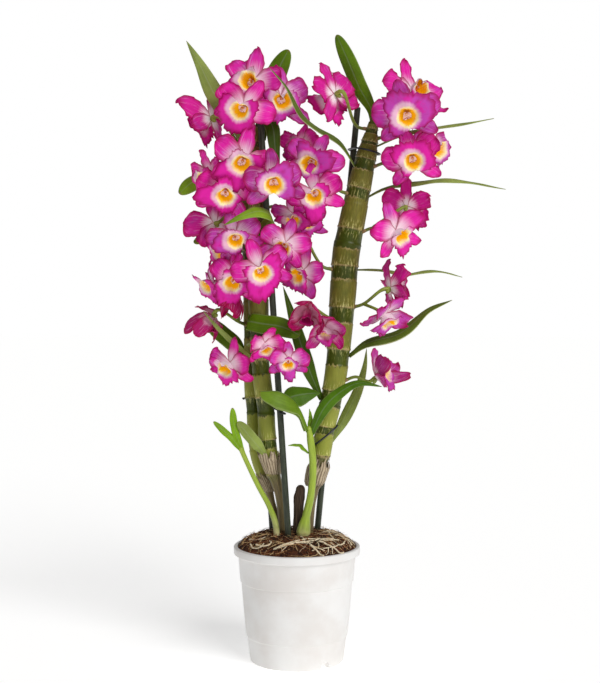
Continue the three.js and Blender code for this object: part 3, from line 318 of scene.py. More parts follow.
class PotSettings(PropertyGroup):
    """The nursery pot"""
    height: length("Height", "From the table to the top of the rim", POT_HIGH[2])
    rim_radius: length("Rim radius", "Radius of the rolled rim", POT_HIGH[0])
    foot_radius: length("Foot radius", "Radius where the pot stands", 0.0442)
    notch_width: length("Notch width", "Width of each notch in the foot", 0.0125)
    notch_height: length("Notch height", "Height of each notch in the foot", 0.007)
    sides: number("Sides", "Steps round the pot", 144)
    plastic: colour("Plastic", "Colour of the moulded plastic", "efeeec")
    shade: colour("Shade", "Colour of the plastic where it is thin or handled", "e5e1dd")


class CoirSettings(PropertyGroup):
    """The coir, its fibres and the roots on it"""
    crown: length("Crown", "Height of the top of the mound", 0.121)
    edge_radius: length("Edge radius", "Radius of the mound at the rim", 0.0564)
    fibres: number("Fibres", "How many loose fibres lie on the mound", 1500)
    flakes: number("Flakes", "How many chips lie among the fibres", 260)
    side_roots: number("Side roots", "How many fine roots branch off", 40)
    # Dark coir is partly the coir's own dark brown and partly painted shade in its hollows.
    dark: colour("Dark coir", "Colour of the coir in its hollows", "220d05")
    light: colour("Light coir", "Colour of the dry fibres", "a65a24")
    straw: colour("Straw", "Colour of the palest fibres", "f0cc94")
    root: colour("Root", "Colour of the roots", "f2e2c0")
    root_tip: colour("Root tip", "Colour of the living roots", "a9ae78")


class StemSettings(PropertyGroup):
    """Canes, shoots, stakes and ties"""
    node_ring: length("Node ring", "How far a node's ring stands out", 0.0005)
    sheath_thickness: length("Sheath", "Thickness of the papery sheath above each node", 0.00035)
    sheath_share: amount("Sheath share", "Share of an internode that the sheath covers", 0.62)
    sides: number("Sides", "Steps round a cane", 36)
    stake_radius: length("Stake radius", "Radius of the stakes", 0.003)
    wire_radius: length("Wire radius", "Radius of the tie wire", 0.0009)
    band: colour("Bare band", "Colour of a cane where it is bare", "4c5a08")
    sheath: colour("Sheath", "Colour of the dry sheath", "86822e")
    fresh_sheath: colour("Fresh sheath", "Colour of the lowest, fresher sheaths", "a4ad40")
    streak: colour("Streak", "Colour of the streaks along a cane", "e0dc8c")
    node: colour("Node", "Colour of the nodes", "c8b078")
    stake: colour("Stake", "Colour of the stakes", "2c3324")
    wire: colour("Wire", "Colour of the tie wire", "15181c")
    shoot: colour("Shoot", "Colour of a young shoot", "a9c23c")
    bulb: colour("Bulb", "Colour of a shoot's swollen foot", "dccf9c")
    paper: colour("Paper", "Colour of the papery sheaths", "c4b294")
    paper_rib: colour("Paper ribs", "Colour of the ribs of the papery sheaths", "84705a")
    bark: colour("Bark", "Colour of the old cane", "6b5340")
    bark_rib: colour("Bark ribs", "Colour of the ribs of the old cane", "2c1e16")


class LeafSettings(PropertyGroup):
    """The strap leaves"""
    thickness: length("Thickness", "Thickness of a leaf", 0.0007)
    wave: length("Wave", "How far a leaf's edges wave", 0.0006)
    steps: number("Steps", "Rows of faces along a leaf", 36)


class BloomSettings(PropertyGroup):
    """The blooms"""
    sepal_length: length("Sepal length", "Length of a sepal", 0.029)
    sepal_width: length("Sepal width", "Width of a sepal", 0.0142)
    petal_length: length("Petal length", "Length of a petal", 0.0285)
    petal_width: length("Petal width", "Width of a petal", 0.0215)
    lip_length: length("Lip length", "Depth of the lip's funnel", 0.0105)
    lip_radius: length("Lip radius", "Radius of the lip's flared rim", 0.0170)
    lip_tilt: FloatProperty(name="Lip tilt", description="How far the lip hangs down",
                            default=math.radians(15), subtype="ANGLE", unit="ROTATION")
    ruffle: length("Ruffle", "How far the petals' edges wave", 0.0024)
    thickness: length("Thickness", "Thickness of a petal", 0.00045)
    blade: colour("Blade", "Colour of the petals", "e422a4")
    violet: colour("Violet", "The petals' cooler patches", "c846b4")
    edge: colour("Edge", "Colour of the petals' edges and backs", "a20044")
    heart: colour("Heart", "Colour of the petals' bases", "fbe6ee")
    throat: colour("Throat", "Colour of the lip's throat", "ffc20c")
    # Painted glow: the petals and the lip's throat glow a little, standing in for light that comes
    # through them.
    painted_petal_glow: amount("Petal glow", "Light that comes through the petals", 0.12)
    painted_throat_glow: amount("Throat glow", "Light that comes through the lip into its throat", 0.14)
    # The deep colour is the colour of the hook mark, and it is also laid as painted shade at the
    # bottom of the funnel.
    deep: colour("Deep throat", "Colour of the mark in the throat", "8c2408")
    ring: colour("Ring", "Colour of the ring round the throat", "fdf0c0")
    halo: colour("Halo", "Colour that the lip has just outside the ring", "f0bcd6")
    stalk: colour("Stalk", "Colour of the flower stalks", "8fa03a")


class StageSettings(PropertyGroup):
    """Floor, light and camera"""
    floor_radius: length("Floor radius", "Radius of the floor", 9.0)
    distance: length("Distance", "How far in front of the plant the camera stands", 1.2)
    eye_height: length("Eye height", "Height of the camera", 0.352)
    lens: FloatProperty(name="Lens", description="Focal length", default=66.3, unit="CAMERA")
    pitch: FloatProperty(name="Pitch", description="How far the camera looks down",
                         default=math.radians(2.22), subtype="ANGLE", unit="ROTATION")
    ambient: amount("Ambient", "Strength of the light from all round", 0.22)
    glow: amount("Glow", "Light that the lit floor gives off", 0.50)
    key_strength: amount("Key strength", "Strength of the key light", 1.75)
    key_spread: FloatProperty(name="Key spread", description="How soft the key light is",
                              default=math.radians(35), subtype="ANGLE", unit="ROTATION")
    floor: colour("Floor", "Colour of the floor", "f7f7f6")


# ------------------------------------------------------------------ shapes

SEAM = 1e-6                      # corners closer than this are one
CURVE_STEPS = 16                 # straight steps between two points of a curve
LEAST = 1e-12                    # a length to divide by where the real one is none


def metres(points):
    return [Vector(point) * MM for point in points]


def bend(before, start, end, after, share):
    """A place between start and end on a centripetal Catmull-Rom curve."""
    a, b, c = [math.sqrt(max((q - p).length, SEAM))
               for p, q in ((before, start), (start, end), (end, after))]
    leave = ((start - before) / a - (end - before) / (a + b)) * b + (end - start)
    reach = (end - start) - ((after - start) / (b + c) - (after - end) / c) * b
    run = end - start
    return (start + leave * share + (3 * run - 2 * leave - reach) * share ** 2
            + (leave + reach - 2 * run) * share ** 3)


class Path:
    """A smooth curve through points, walked by the share of its length."""

    def __init__(self, points):
        knots = [Vector(point) for point in points]
        knots = [2 * knots[0] - knots[1], *knots, 2 * knots[-1] - knots[-2]]
        self.points = [knots[1]]
        for before, start, end, after in zip(knots, knots[1:], knots[2:], knots[3:]):
            for step in range(1, CURVE_STEPS + 1):
                self.points.append(bend(before, start, end, after, step / CURVE_STEPS))
        self.lengths = [0.0]
        for here, there in zip(self.points, self.points[1:]):
            self.lengths.append(self.lengths[-1] + (there - here).length)
        self.length = self.lengths[-1]

    def step(self, share):
        """The straight step that holds a share of the length, and how far along it that is."""
        goal = min(max(share, 0.0), 1.0) * self.length
        index = min(max(bisect_left(self.lengths, goal), 1), len(self.lengths) - 1)
        start, end = self.lengths[index - 1], self.lengths[index]
        return index, (goal - start) / max(end - start, LEAST)

    def at(self, share):
        index, part = self.step(share)
        return self.points[index - 1].lerp(self.points[index], part)

    def heading(self, share, reach=0.01):
        return (self.at(share + reach) - self.at(share - reach)).normalized()

    def share_at_height(self, height):
        """Where a rising curve reaches a height."""
        heights = [point.z for point in self.points]
        index = min(max(bisect_left(heights, height), 1), len(heights) - 1)
        low, high = heights[index - 1], heights[index]
        part = min(max((height - low) / max(high - low, LEAST), 0.0), 1.0)
        start, end = self.lengths[index - 1], self.lengths[index]
        return (start + (end - start) * part) / self.length

    def frames(self, shares, side=None, fixed=False):
        """Point, across and up at each share; up starts near side, or keeps to it if fixed."""
        first = self.heading(shares[0])
        across = side.cross(first) if side else first.orthogonal()
        for share in shares:
            heading = self.heading(share)
            if fixed:
                across = side.cross(heading)
            across = (across - heading * across.dot(heading)).normalized()
            yield self.at(share), across, heading.cross(across)


def between(pairs, at):
    """Straight-line values between pairs of a key and its value."""
    keys = [key for key, _ in pairs]
    index = bisect_left(keys, at)
    if index == 0:
        return pairs[0][1]
    if index == len(pairs):
        return pairs[-1][1]
    (k0, v0), (k1, v1) = pairs[index - 1], pairs[index]
    return v0 + (v1 - v0) * (at - k0) / (k1 - k0)


def ease(value, low, high):
    """0 below low, 1 above high, and smooth between them."""
    part = min(max((value - low) / (high - low), 0.0), 1.0)
    return part * part * (3 - 2 * part)


def new_bm(*marks):
    """A bmesh with a UV map and a value on each corner for each mark."""
    bm = bmesh.new()
    bm.loops.layers.uv.new("UVMap")
    for mark in marks:
        bm.verts.layers.float.new(mark)
    return bm


def patch(bm, across, shares, place, material=0, marks=None, seam=False):
    """Adds a grid of faces, each corner put where place(u, row) says.

    u runs from 0 to 1 across the grid. There is a row for each of the shares, which become
    the grid's V. marks gives each mark's value: one for all, one for each row, or mark(u, row).
    """
    last = len(shares) - 1
    uv = bm.loops.layers.uv.active
    made = bmesh.ops.create_grid(bm, x_segments=across, y_segments=last, size=0.5, calc_uvs=True)
    verts = made["verts"]
    for face in {face for vert in verts for face in vert.link_faces}:
        face.material_index = material
        face.smooth = True
        for loop in face.loops:
            loop[uv].uv.y = shares[round(loop[uv].uv.y * last)]
    layers = [(bm.verts.layers.float[mark], value) for mark, value in (marks or {}).items()]
    for vert in verts:
        u, row = vert.co.x + 0.5, round((vert.co.y + 0.5) * last)
        for layer, value in layers:
            if callable(value):
                vert[layer] = value(u, row)
            else:
                vert[layer] = value[row] if isinstance(value, list) else value
        vert.co = place(u, row)
    if seam:
        bmesh.ops.remove_doubles(bm, verts=verts, dist=SEAM)


def tube(bm, path, rings, sides, side=None, fixed=False, lump=None, **options):
    """A round body along a path; rings are (share of the length, radius)."""
    shares = [share for share, _ in rings]
    frames = list(path.frames(shares, side, fixed))

    def place(u, row):
        point, across, up = frames[row]
        radius = rings[row][1]
        if lump and radius:
            radius += lump(u % 1, row)
        return point + (across * math.cos(TAU * u) + up * math.sin(TAU * u)) * radius

    patch(bm, sides, shares, place, seam=True, **options)


CAP_ANGLES = (0, 30, 60)         # degrees at which a rounded end has its rings


def rounded(path, radius, steps):
    """Rings of a body with rounded ends; radius(share) is its half width."""
    first, last = radius(0) / path.length, radius(1) / path.length
    angles = [math.radians(angle) for angle in CAP_ANGLES]
    foot = [(first * (1 - math.cos(angle)), radius(0) * math.sin(angle)) for angle in angles]
    top = [(1 - last * (1 - math.cos(angle)), radius(1) * math.sin(angle))
           for angle in reversed(angles)]
    inner = [first + (1 - first - last) * step / steps for step in range(steps + 1)]
    return [*foot, *((share, radius(share)) for share in inner), *top]


def lathe(bm, outline, steps):
    """Spins an outline of (radius, height) round the Z axis."""
    verts = [bm.verts.new((radius, 0, height)) for radius, height in outline]
    edges = [bm.edges.new(pair) for pair in zip(verts, verts[1:])]
    bmesh.ops.spin(bm, geom=verts + edges, cent=(0, 0, 0), axis=(0, 0, 1), dvec=(0, 0, 0),
                   angle=TAU, steps=steps, use_merge=True, use_duplicate=False)
    bmesh.ops.remove_doubles(bm, verts=bm.verts[:], dist=SEAM)
    for face in bm.faces:
        face.smooth = True


def arc(centre, radius, start, end, steps):
    """Points of a round stretch of an outline, between two angles in degrees."""
    angles = [math.radians(start + (end - start) * step / steps) for step in range(steps + 1)]
    return [(centre[0] + radius * math.cos(angle), centre[1] + radius * math.sin(angle))
            for angle in angles]


def add_object(name, bm, materials, closed=True):
    """Makes an object of a bmesh, with its faces pointing out where it is closed."""
    if closed:
        bmesh.ops.recalc_face_normals(bm, faces=bm.faces[:])
    mesh = bpy.data.meshes.new(name)
    bm.to_mesh(mesh)
    bm.free()
    for material in materials:
        mesh.materials.append(material)
    made = bpy.data.objects.new(name, mesh)
    bpy.context.scene.collection.objects.link(made)
    return made


def add_piece(name, bm, materials, replaces=(), wall=None):
    """A finished piece of the plant. An open sheet gets its thickness, wall, from both faces."""
    made = add_object(name, bm, materials, closed=wall is None)
    if wall is not None:
        shell = made.modifiers.new("Wall", "SOLIDIFY")
        shell.thickness = wall
        shell.offset = 0
        shell.material_offset = 1
        shell.material_offset_rim = 0
    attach(made, BODY)
    if replaces:
        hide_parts(*replaces)
    return made


# ------------------------------------------------------------------ materials

class Wiring:
    """One procedural material: nodes are added by kind, and sockets joined as they are fed."""

    def __init__(self, name, roughness, specular=0.5):
        self.material = bpy.data.materials.new(name)
        self.material.use_nodes = True
        self.tree = self.material.node_tree
        self.shader = self.tree.nodes["Principled BSDF"]
        self.rough(roughness)
        self.feed(self.shader, "Specular IOR Level", specular)

    def feed(self, node, socket, value):
        target = node.inputs[socket]
        if isinstance(value, bpy.types.NodeSocket):
            self.tree.links.new(value, target)
        elif target.type == "RGBA":
            target.default_value = (*value[:3], 1)
        else:
            target.default_value = value

    def node(self, kind, inputs, **settings):
        made = self.tree.nodes.new("ShaderNode" + kind)
        for setting, value in settings.items():
            setattr(made, setting, value)
        for socket, value in inputs.items():
            self.feed(made, socket, value)
        return made

    def place(self, stretch=(1, 1, 1)):
        """Object coordinates, stretched along the axes."""
        where = self.node("TexCoord", {}).outputs["Object"]
        return self.node("Mapping", {"Vector": where, "Scale": stretch}).outputs["Vector"]

    def uv(self):
        """The two axes of the piece's own UV map."""
        where = self.node("UVMap", {}, uv_map="UVMap").outputs["UV"]
        parts = self.node("SeparateXYZ", {"Vector": where}).outputs
        return parts["X"], parts["Y"]

    def vector(self, x, y, z=0.0):
        return self.node("CombineXYZ", {"X": x, "Y": y, "Z": z}).outputs["Vector"]

    def spread(self, u, v, across, along=1.0, seed=0.0):
        """A place on the UV map, stretched across and along; seed shifts the pattern there."""
        return self.vector(self.times(u, across), self.times(v, along), seed)

    def mark(self, name):
        return self.node("Attribute", {}, attribute_name=name).outputs["Fac"]

    def noise(self, where, scale, detail=3.0, roughness=0.55):
        return self.node("TexNoise", {"Vector": where, "Scale": scale, "Detail": detail,
                                      "Roughness": roughness}).outputs["Fac"]

    def maths(self, operation, *values, clamp=False):
        inputs = dict(enumerate(values))
        return self.node("Math", inputs, operation=operation, use_clamp=clamp).outputs["Value"]

    def times(self, first, second):
        return self.maths("MULTIPLY", first, second)

    def plus(self, first, second):
        return self.maths("ADD", first, second)

    def scaled(self, value, factor, rest):
        """value * factor + rest"""
        return self.maths("MULTIPLY_ADD", value, factor, rest)

    def away(self, value, middle, factor=1.0):
        """How far a value is from a middle, times a factor."""
        return self.maths("ABSOLUTE", self.scaled(value, factor, -middle * factor))

    def ease(self, value, low, high):
        """0 below low, 1 above high, and smooth between them; high may be the lower one."""
        inputs = {"Value": value, "From Min": low, "From Max": high}
        return self.node("MapRange", inputs, interpolation_type="SMOOTHSTEP").outputs["Result"]

    def lay(self, skin, tint, *shares):
        """Lays a tint over a skin, as strongly as the product of the shares."""
        share = shares[0]
        for other in shares[1:]:
            share = self.times(share, other)
        inputs = {0: share, 6: skin, 7: tint}
        return self.node("Mix", inputs, data_type="RGBA").outputs[2]

    def rough(self, value):
        self.feed(self.shader, "Roughness", value)

    def glow(self, tint, strength):
        self.feed(self.shader, "Emission Color", tint)
        self.feed(self.shader, "Emission Strength", strength)

    def bump(self, height, distance, strength=1.0):
        inputs = {"Height": height, "Distance": distance, "Strength": strength}
        self.feed(self.shader, "Normal", self.node("Bump", inputs).outputs["Normal"])

    def colour(self, value):
        self.feed(self.shader, "Base Color", value)
        return self.material


def toned(tint, share, lift=0.0):
    """A tint made darker or lighter by a share, and then lifted towards white."""
    return tuple(part * share + lift for part in tint)


def plastic_finish(pot):
    wiring = Wiring("pot_plastic", 0.42, specular=0.45)
    clouds = wiring.noise(wiring.place(), 24.0, 4.0)
    scuffs = wiring.noise(wiring.place((1, 1, 5)), 140.0, 5.0, 0.7)
    wiring.rough(wiring.scaled(scuffs, 0.22, 0.34))
    wiring.bump(wiring.scaled(scuffs, 0.2, clouds), 0.0003, 0.35)
    return wiring.colour(wiring.lay(pot.plastic, pot.shade, wiring.ease(clouds, 0.35, 0.7)))


def coir_finish(coir):
    wiring = Wiring("coir_bed", 0.9)
    strands = wiring.noise(wiring.place((1, 1, 0.4)), 420.0, 8.0, 0.75)
    clumps = wiring.noise(wiring.place(), 70.0, 4.0)
    wiring.bump(wiring.plus(strands, clumps), 0.002)
    shade = wiring.scaled(strands, 0.7, wiring.times(clumps, 0.5))
    middle = wiring.lay(coir.dark, coir.light, 0.5)
    # Dark where the strand pattern is low: the coir's own dark brown, and painted shade of its
    # hollows.
    return wiring.colour(wiring.lay(coir.dark, middle, wiring.ease(shade, 0.45, 0.85)))


def fibre_finish(coir):
    wiring = Wiring("coir_fibre", 0.8)
    streaks = wiring.noise(wiring.place(), 500.0, 3.0)
    shade = wiring.scaled(streaks, 0.5, wiring.plus(wiring.mark("tone"), -0.25))
    strand = wiring.lay(coir.dark, coir.light, wiring.ease(shade, 0.0, 0.8))
    return wiring.colour(wiring.lay(strand, coir.straw, wiring.ease(shade, 0.58, 0.85)))


def root_finish(coir):
    wiring = Wiring("root_skin", 0.6)
    tone = wiring.mark("tone")
    patches = wiring.noise(wiring.place(), 190.0, 5.0, 0.7)
    fine = wiring.noise(wiring.place(), 900.0, 3.0)
    living = wiring.lay(coir.root, coir.root_tip, wiring.ease(tone, 0.6, 0.9))
    stain = wiring.ease(wiring.scaled(tone, 0.3, patches), 0.6, 0.85)
    wiring.bump(wiring.scaled(fine, 0.4, patches), 0.0004)
    return wiring.colour(wiring.lay(living, coir.light, stain))


def stake_finish(stems):
    wiring = Wiring("stake_coating", 0.38, specular=0.4)
    grain = wiring.noise(wiring.spread(*wiring.uv(), 14.0, 9.0), 3.0, 6.0, 0.7)
    dust = wiring.noise(wiring.place((1, 1, 0.3)), 260.0, 4.0, 0.7)
    both = wiring.plus(grain, dust)
    wiring.rough(wiring.scaled(dust, 0.4, 0.2))
    wiring.bump(both, 0.0003, 0.6)
    # Paler where grain and dust are strongest: partly dust on the coating, partly painted highlight
    # streaks.
    pale = wiring.ease(wiring.times(both, 0.5), 0.4, 0.72)
    return wiring.colour(wiring.lay(toned(stems.stake, 0.75), toned(stems.stake, 2.6, 0.01), pale))


def wire_finish(stems):
    wiring = Wiring("tie_wire", 0.35)
    grain = wiring.noise(wiring.place(), 600.0, 3.0)
    wiring.bump(grain, 0.0002, 0.5)
    return wiring.colour(wiring.lay(stems.wire, toned(stems.wire, 2.2), grain))


def cane_finish(stems):
    """Bare green bands, dry streaked sheaths above the nodes and cream, torn node rings."""
    wiring = Wiring("cane_skin", 0.45, specular=0.34)
    u, _ = wiring.uv()
    count = wiring.mark("internode")
    step = wiring.maths("FRACT", count)
    veins = wiring.noise(wiring.spread(u, count, 26.0, 1.5), 2.6, 3.0, 0.65)
    ragged = wiring.noise(wiring.spread(u, count, 9.0), 3.0, 4.0, 0.7)
    blotch = wiring.noise(wiring.place(), 60.0, 5.0, 0.65)
    specks = wiring.noise(wiring.place((1, 1, 0.6)), 420.0, 4.0, 0.7)

    # How far a place is past the torn end of its sheath. Some sheaths are longer than others.
    own_number = wiring.vector(wiring.times(wiring.maths("FLOOR", count), 3.7), 0.5)
    chance = wiring.noise(own_number, 1.0, 0.0)
    torn = wiring.scaled(wiring.plus(chance, -0.5), 0.9, wiring.scaled(ragged, 0.26, step))
    past = wiring.plus(torn, -stems.sheath_share)
    bare = wiring.ease(past, 0.125, 0.165)

    band = wiring.lay(stems.band, toned(stems.band, 0.5), wiring.ease(blotch, 0.3, 0.75))
    band = wiring.lay(band, stems.streak, wiring.ease(step, 0.66, 0.95),
                      wiring.ease(veins, 0.54, 0.66), 0.75)
    dry = wiring.lay(toned(stems.sheath, 0.62), stems.sheath, wiring.ease(veins, 0.32, 0.72))
    dry = wiring.lay(dry, toned(stems.band, 1.15), wiring.ease(blotch, 0.45, 0.75), 0.55)
    # The lowest internodes are fresher and greener.
    dry = wiring.lay(dry, stems.fresh_sheath, wiring.ease(count, 4.5, 1.0), 0.6)
    dry = wiring.lay(dry, stems.streak, wiring.ease(step, 0.3, 0.05),
                     wiring.ease(veins, 0.52, 0.62), 0.8)
    skin = wiring.lay(dry, band, bare)

    # The torn edge of the sheath is a pale line with dark dots.
    edge = wiring.times(wiring.ease(past, 0.09, 0.135), wiring.ease(past, 0.17, 0.14))
    patchy = wiring.ease(blotch, 0.42, 0.6)
    skin = wiring.lay(skin, stems.node, edge, patchy, 0.6)
    skin = wiring.lay(skin, toned(stems.stake, 0.4), edge, wiring.ease(specks, 0.55, 0.62))

    # The node itself is a torn ring, dotted too.
    ring = wiring.maths("ADD", wiring.ease(step, 0.97, 0.995), wiring.ease(step, 0.045, 0.012),
                        clamp=True)
    skin = wiring.lay(skin, stems.node, ring, wiring.ease(ragged, 0.32, 0.6),
                      wiring.scaled(patchy, 0.6, 0.3))
    skin = wiring.lay(skin, toned(stems.node, 0.16), ring, wiring.ease(specks, 0.56, 0.64))

    # Below the first node the foot is brown and dry.
    foot = wiring.ease(wiring.scaled(blotch, 0.5, count), 0.35, 0.05)
    husk = wiring.lay(toned(stems.node, 0.18), toned(stems.node, 0.5),
                      wiring.ease(veins, 0.35, 0.65))
    wiring.rough(wiring.scaled(bare, -0.12, 0.46))
    relief = wiring.scaled(veins, wiring.scaled(bare, -0.7, 1.0), wiring.times(specks, 0.2))
    wiring.bump(relief, 0.0005, 0.8)
    return wiring.colour(wiring.lay(skin, husk, foot))


HUSK_RIBS = 23                   # ribs round a papery sheath


def husk_finish(name, pale, dark):
    """Papery sheaths: pale with darker ribs that run up them."""
    wiring = Wiring(name, 0.75)
    u, v = wiring.uv()
    sway = wiring.noise(wiring.spread(u, v, 6.0), 2.0, 3.0)
    ribs = wiring.maths("SINE", wiring.scaled(sway, 9.0, wiring.times(u, TAU * HUSK_RIBS)))
    stains = wiring.noise(wiring.place(), 130.0, 5.0, 0.7)
    paper = wiring.lay(pale, dark, wiring.ease(ribs, -0.2, 0.9))
    wiring.bump(wiring.scaled(stains, 0.5, ribs), 0.0004, 0.8)
    return wiring.colour(wiring.lay(paper, toned(dark, 0.5), wiring.ease(stains, 0.5, 0.85)))


def shoot_finish(stems, low, high):
    """Cream at its swollen foot, then yellow-green with fine lines; it turns from low to high."""
    wiring = Wiring("young_shoot", 0.38)
    u, _ = wiring.uv()
    height = wiring.node("SeparateXYZ", {"Vector": wiring.place()}).outputs["Z"]
    lines = wiring.noise(wiring.spread(u, height, 24.0, 26.0), 2.2, 3.0)
    blotch = wiring.noise(wiring.place(), 90.0, 4.0, 0.7)
    stem = wiring.lay(stems.shoot, toned(stems.shoot, 0.62), wiring.ease(lines, 0.35, 0.7))
    foot = wiring.lay(stems.bulb, toned(stems.bulb, 0.5), wiring.ease(blotch, 0.5, 0.8))
    rise = wiring.scaled(blotch, 0.012, height)
    wiring.bump(wiring.plus(lines, blotch), 0.0002, 0.6)
    return wiring.colour(wiring.lay(foot, stem, wiring.ease(rise, low, high)))


def leaf_finish(look, under):
    """Straight fine veins, a paler midrib and edge, a dry tip and soft mottling."""
    tint = rgb(LEAF_LOOKS[look][1 if under else 0])
    wiring = Wiring(f"leaf_{look}_{'under' if under else 'upper'}", 0.55 if under else 0.42,
                    specular=0.16)
    u, v = wiring.uv()
    off = wiring.away(u, 0.5, 2.0)
    fine = wiring.noise(wiring.spread(u, v, 30.0, 1.4), 1.6, 3.0, 0.6)
    mottle = wiring.noise(wiring.place(), 45.0, 5.0, 0.6)
    skin = wiring.lay(toned(tint, 0.78), toned(tint, 1.22), wiring.ease(mottle, 0.3, 0.75))
    skin = wiring.lay(skin, toned(tint, 1.7), wiring.ease(fine, 0.5, 0.72), 0.4)
    rib = wiring.ease(off, 0.13, 0.02)
    skin = wiring.lay(skin, toned(tint, 0.55, 0.2), rib, 0.45 if under else 0.3)
    skin = wiring.lay(skin, rgb(LEAF_MARGIN), wiring.ease(off, 0.86, 0.98),
                      0.85 if look == "striped" else 0.25)
    skin = wiring.lay(skin, rgb(LEAF_DRY_TIP), wiring.ease(v, 0.965, 1.0),
                      wiring.ease(mottle, 0.4, 0.6))
    wiring.bump(wiring.scaled(rib, -0.8, fine), 0.0003, 0.7)
    return wiring.colour(skin)


def petal_finish(blooms, back):
    """Pale at the base, magenta with fine streaks and painted glints, redder towards its edge, and
    lit by a painted glow.
    """
    wiring = Wiring("petal_back" if back else "petal_face", 0.55, specular=0.12)
    u, v = wiring.uv()
    tone = wiring.mark("tone")
    off = wiring.away(u, 0.5, 2.0)
    cloud = wiring.noise(wiring.place(), 95.0, 4.0, 0.6)
    streaks = wiring.noise(wiring.spread(u, v, 17.0, 1.3, tone), 1.5, 4.0, 0.65)
    warm = wiring.ease(wiring.scaled(tone, 0.3, cloud), 0.3, 0.72)
    deep = wiring.ease(wiring.scaled(tone, -0.3, wiring.scaled(cloud, -1.0, 1.0)), 0.55, 1.05)
    blade = wiring.lay(blooms.violet, blooms.blade, warm)
    blade = wiring.lay(blade, toned(blooms.edge, 0.8), deep, 0.7)
    # A bloom that is still closed is crimson all over.
    closed = wiring.ease(wiring.mark("closing"), 0.22, 0.7)
    blade = wiring.lay(blade, blooms.edge, closed, 0.8)
    if back:
        blade = wiring.lay(blade, blooms.edge, 0.25)
    reach = wiring.scaled(streaks, 0.34, wiring.scaled(off, 0.1, v))
    fade = wiring.maths("MAXIMUM", wiring.ease(reach, 0.34, 0.66 if back else 0.92),
                        wiring.times(closed, 0.75))
    skin = wiring.lay(blooms.heart, blade, fade)
    skin = wiring.lay(skin, toned(blooms.edge, 0.9), wiring.ease(streaks, 0.52, 0.78), fade, 0.45)
    # Pale lilac along the streaks: painted glints, a painted highlight on the petal.
    skin = wiring.lay(skin, toned(blooms.violet, 0.6, 0.35), wiring.ease(streaks, 0.46, 0.3), fade,
                      0.5)
    rim = wiring.maths("MAXIMUM", wiring.ease(off, 0.6, 1.0), wiring.ease(v, 0.8, 1.02))
    skin = wiring.lay(skin, blooms.edge, rim, 0.8)
    wiring.bump(wiring.scaled(cloud, 0.4, streaks), 0.0004, 0.6)
    # Painted glow: the petal glows a little in its own colour, standing in for light that comes
    # through it.
    wiring.glow(skin, blooms.painted_petal_glow)
    return wiring.colour(skin)


THROAT_MARK_TURN = 0.77          # shares of the way round a lip: its upper side, with the mark,
HALO_TURN = 0.6                  # and its upper left, where the pale halo reaches furthest


def lip_finish(blooms, back):
    """Yellow throat with a dark mark, painted shade deep in its funnel and a painted glow, a cream
    ring, then magenta out to the ruffled rim.
    """
    wiring = Wiring("lip_back" if back else "lip_face", 0.55, specular=0.12)
    u, v = wiring.uv()
    tone = wiring.mark("tone")
    cloud = wiring.noise(wiring.place(), 130.0, 3.0, 0.6)
    rays = wiring.noise(wiring.spread(u, v, 30.0), 1.0, 3.0)
    folds = wiring.noise(wiring.spread(u, v, 7.0, 1.5, tone), 1.6)
    closed = wiring.ease(wiring.mark("closing"), 0.25, 0.8)
    far = wiring.scaled(rays, 0.16, wiring.scaled(cloud, 0.1, wiring.mark("spread")))
    far = wiring.scaled(closed, 0.35, far)
    blade = wiring.lay(blooms.violet, blooms.blade,
                       wiring.ease(wiring.scaled(tone, 0.3, cloud), 0.25, 0.65))
    # Darker crimson where the folds pattern is high: painted shade in the lip's folds.
    blade = wiring.lay(blade, blooms.edge, wiring.ease(folds, 0.5, 0.75), 0.6)
    blade = wiring.lay(blade, blooms.edge, closed, 0.7)
    if back:
        skin = wiring.lay(toned(blooms.heart, 0.9), blade, wiring.ease(far, 0.6, 0.95))
    else:
        hook = wiring.times(wiring.ease(wiring.away(u, THROAT_MARK_TURN), 0.14, 0.05),
                            wiring.ease(far, 0.5, 0.42))
        # Besides the hook mark, the bottom of the funnel takes the deep colour and the gold is
        # darker deeper in: painted shade of the funnel.
        dark = wiring.maths("MAXIMUM", hook, wiring.ease(far, 0.34, 0.24))
        gold = wiring.lay(toned(blooms.throat, 0.8), blooms.throat, wiring.ease(far, 0.32, 0.46))
        gold = wiring.lay(gold, toned(blooms.throat, 0.5), wiring.ease(rays, 0.5, 0.75), 0.35)
        gold = wiring.lay(gold, blooms.deep, dark, 0.7)
        # Painted glow in the gold of the throat, standing in for light that comes through the thin
        # lip.
        wiring.glow(gold, wiring.times(wiring.ease(far, 0.66, 0.46), blooms.painted_throat_glow))
        skin = wiring.lay(gold, blooms.ring, wiring.ease(far, 0.48, 0.58))
        skin = wiring.lay(skin, blooms.halo, wiring.ease(far, 0.6, 0.68))
        left = wiring.ease(wiring.away(u, HALO_TURN), 0.32, 0.08)
        skin = wiring.lay(skin, blade, wiring.ease(wiring.scaled(left, -0.16, far), 0.63, 0.84))
    skin = wiring.lay(skin, blooms.edge, wiring.ease(v, 0.86, 1.0), 0.75)
    wiring.bump(wiring.plus(rays, cloud), 0.0003, 0.6)
    return wiring.colour(skin)


def stalk_finish(blooms):
    wiring = Wiring("flower_stalk", 0.45)
    _, v = wiring.uv()
    cloud = wiring.noise(wiring.place(), 120.0, 4.0, 0.65)
    fresh = wiring.lay(toned(blooms.stalk, 0.55), toned(blooms.stalk, 1.25),
                       wiring.ease(v, 0.1, 0.9))
    wiring.bump(cloud, 0.0002, 0.6)
    return wiring.colour(wiring.lay(fresh, toned(blooms.stalk, 0.7), wiring.ease(cloud, 0.3, 0.8)))


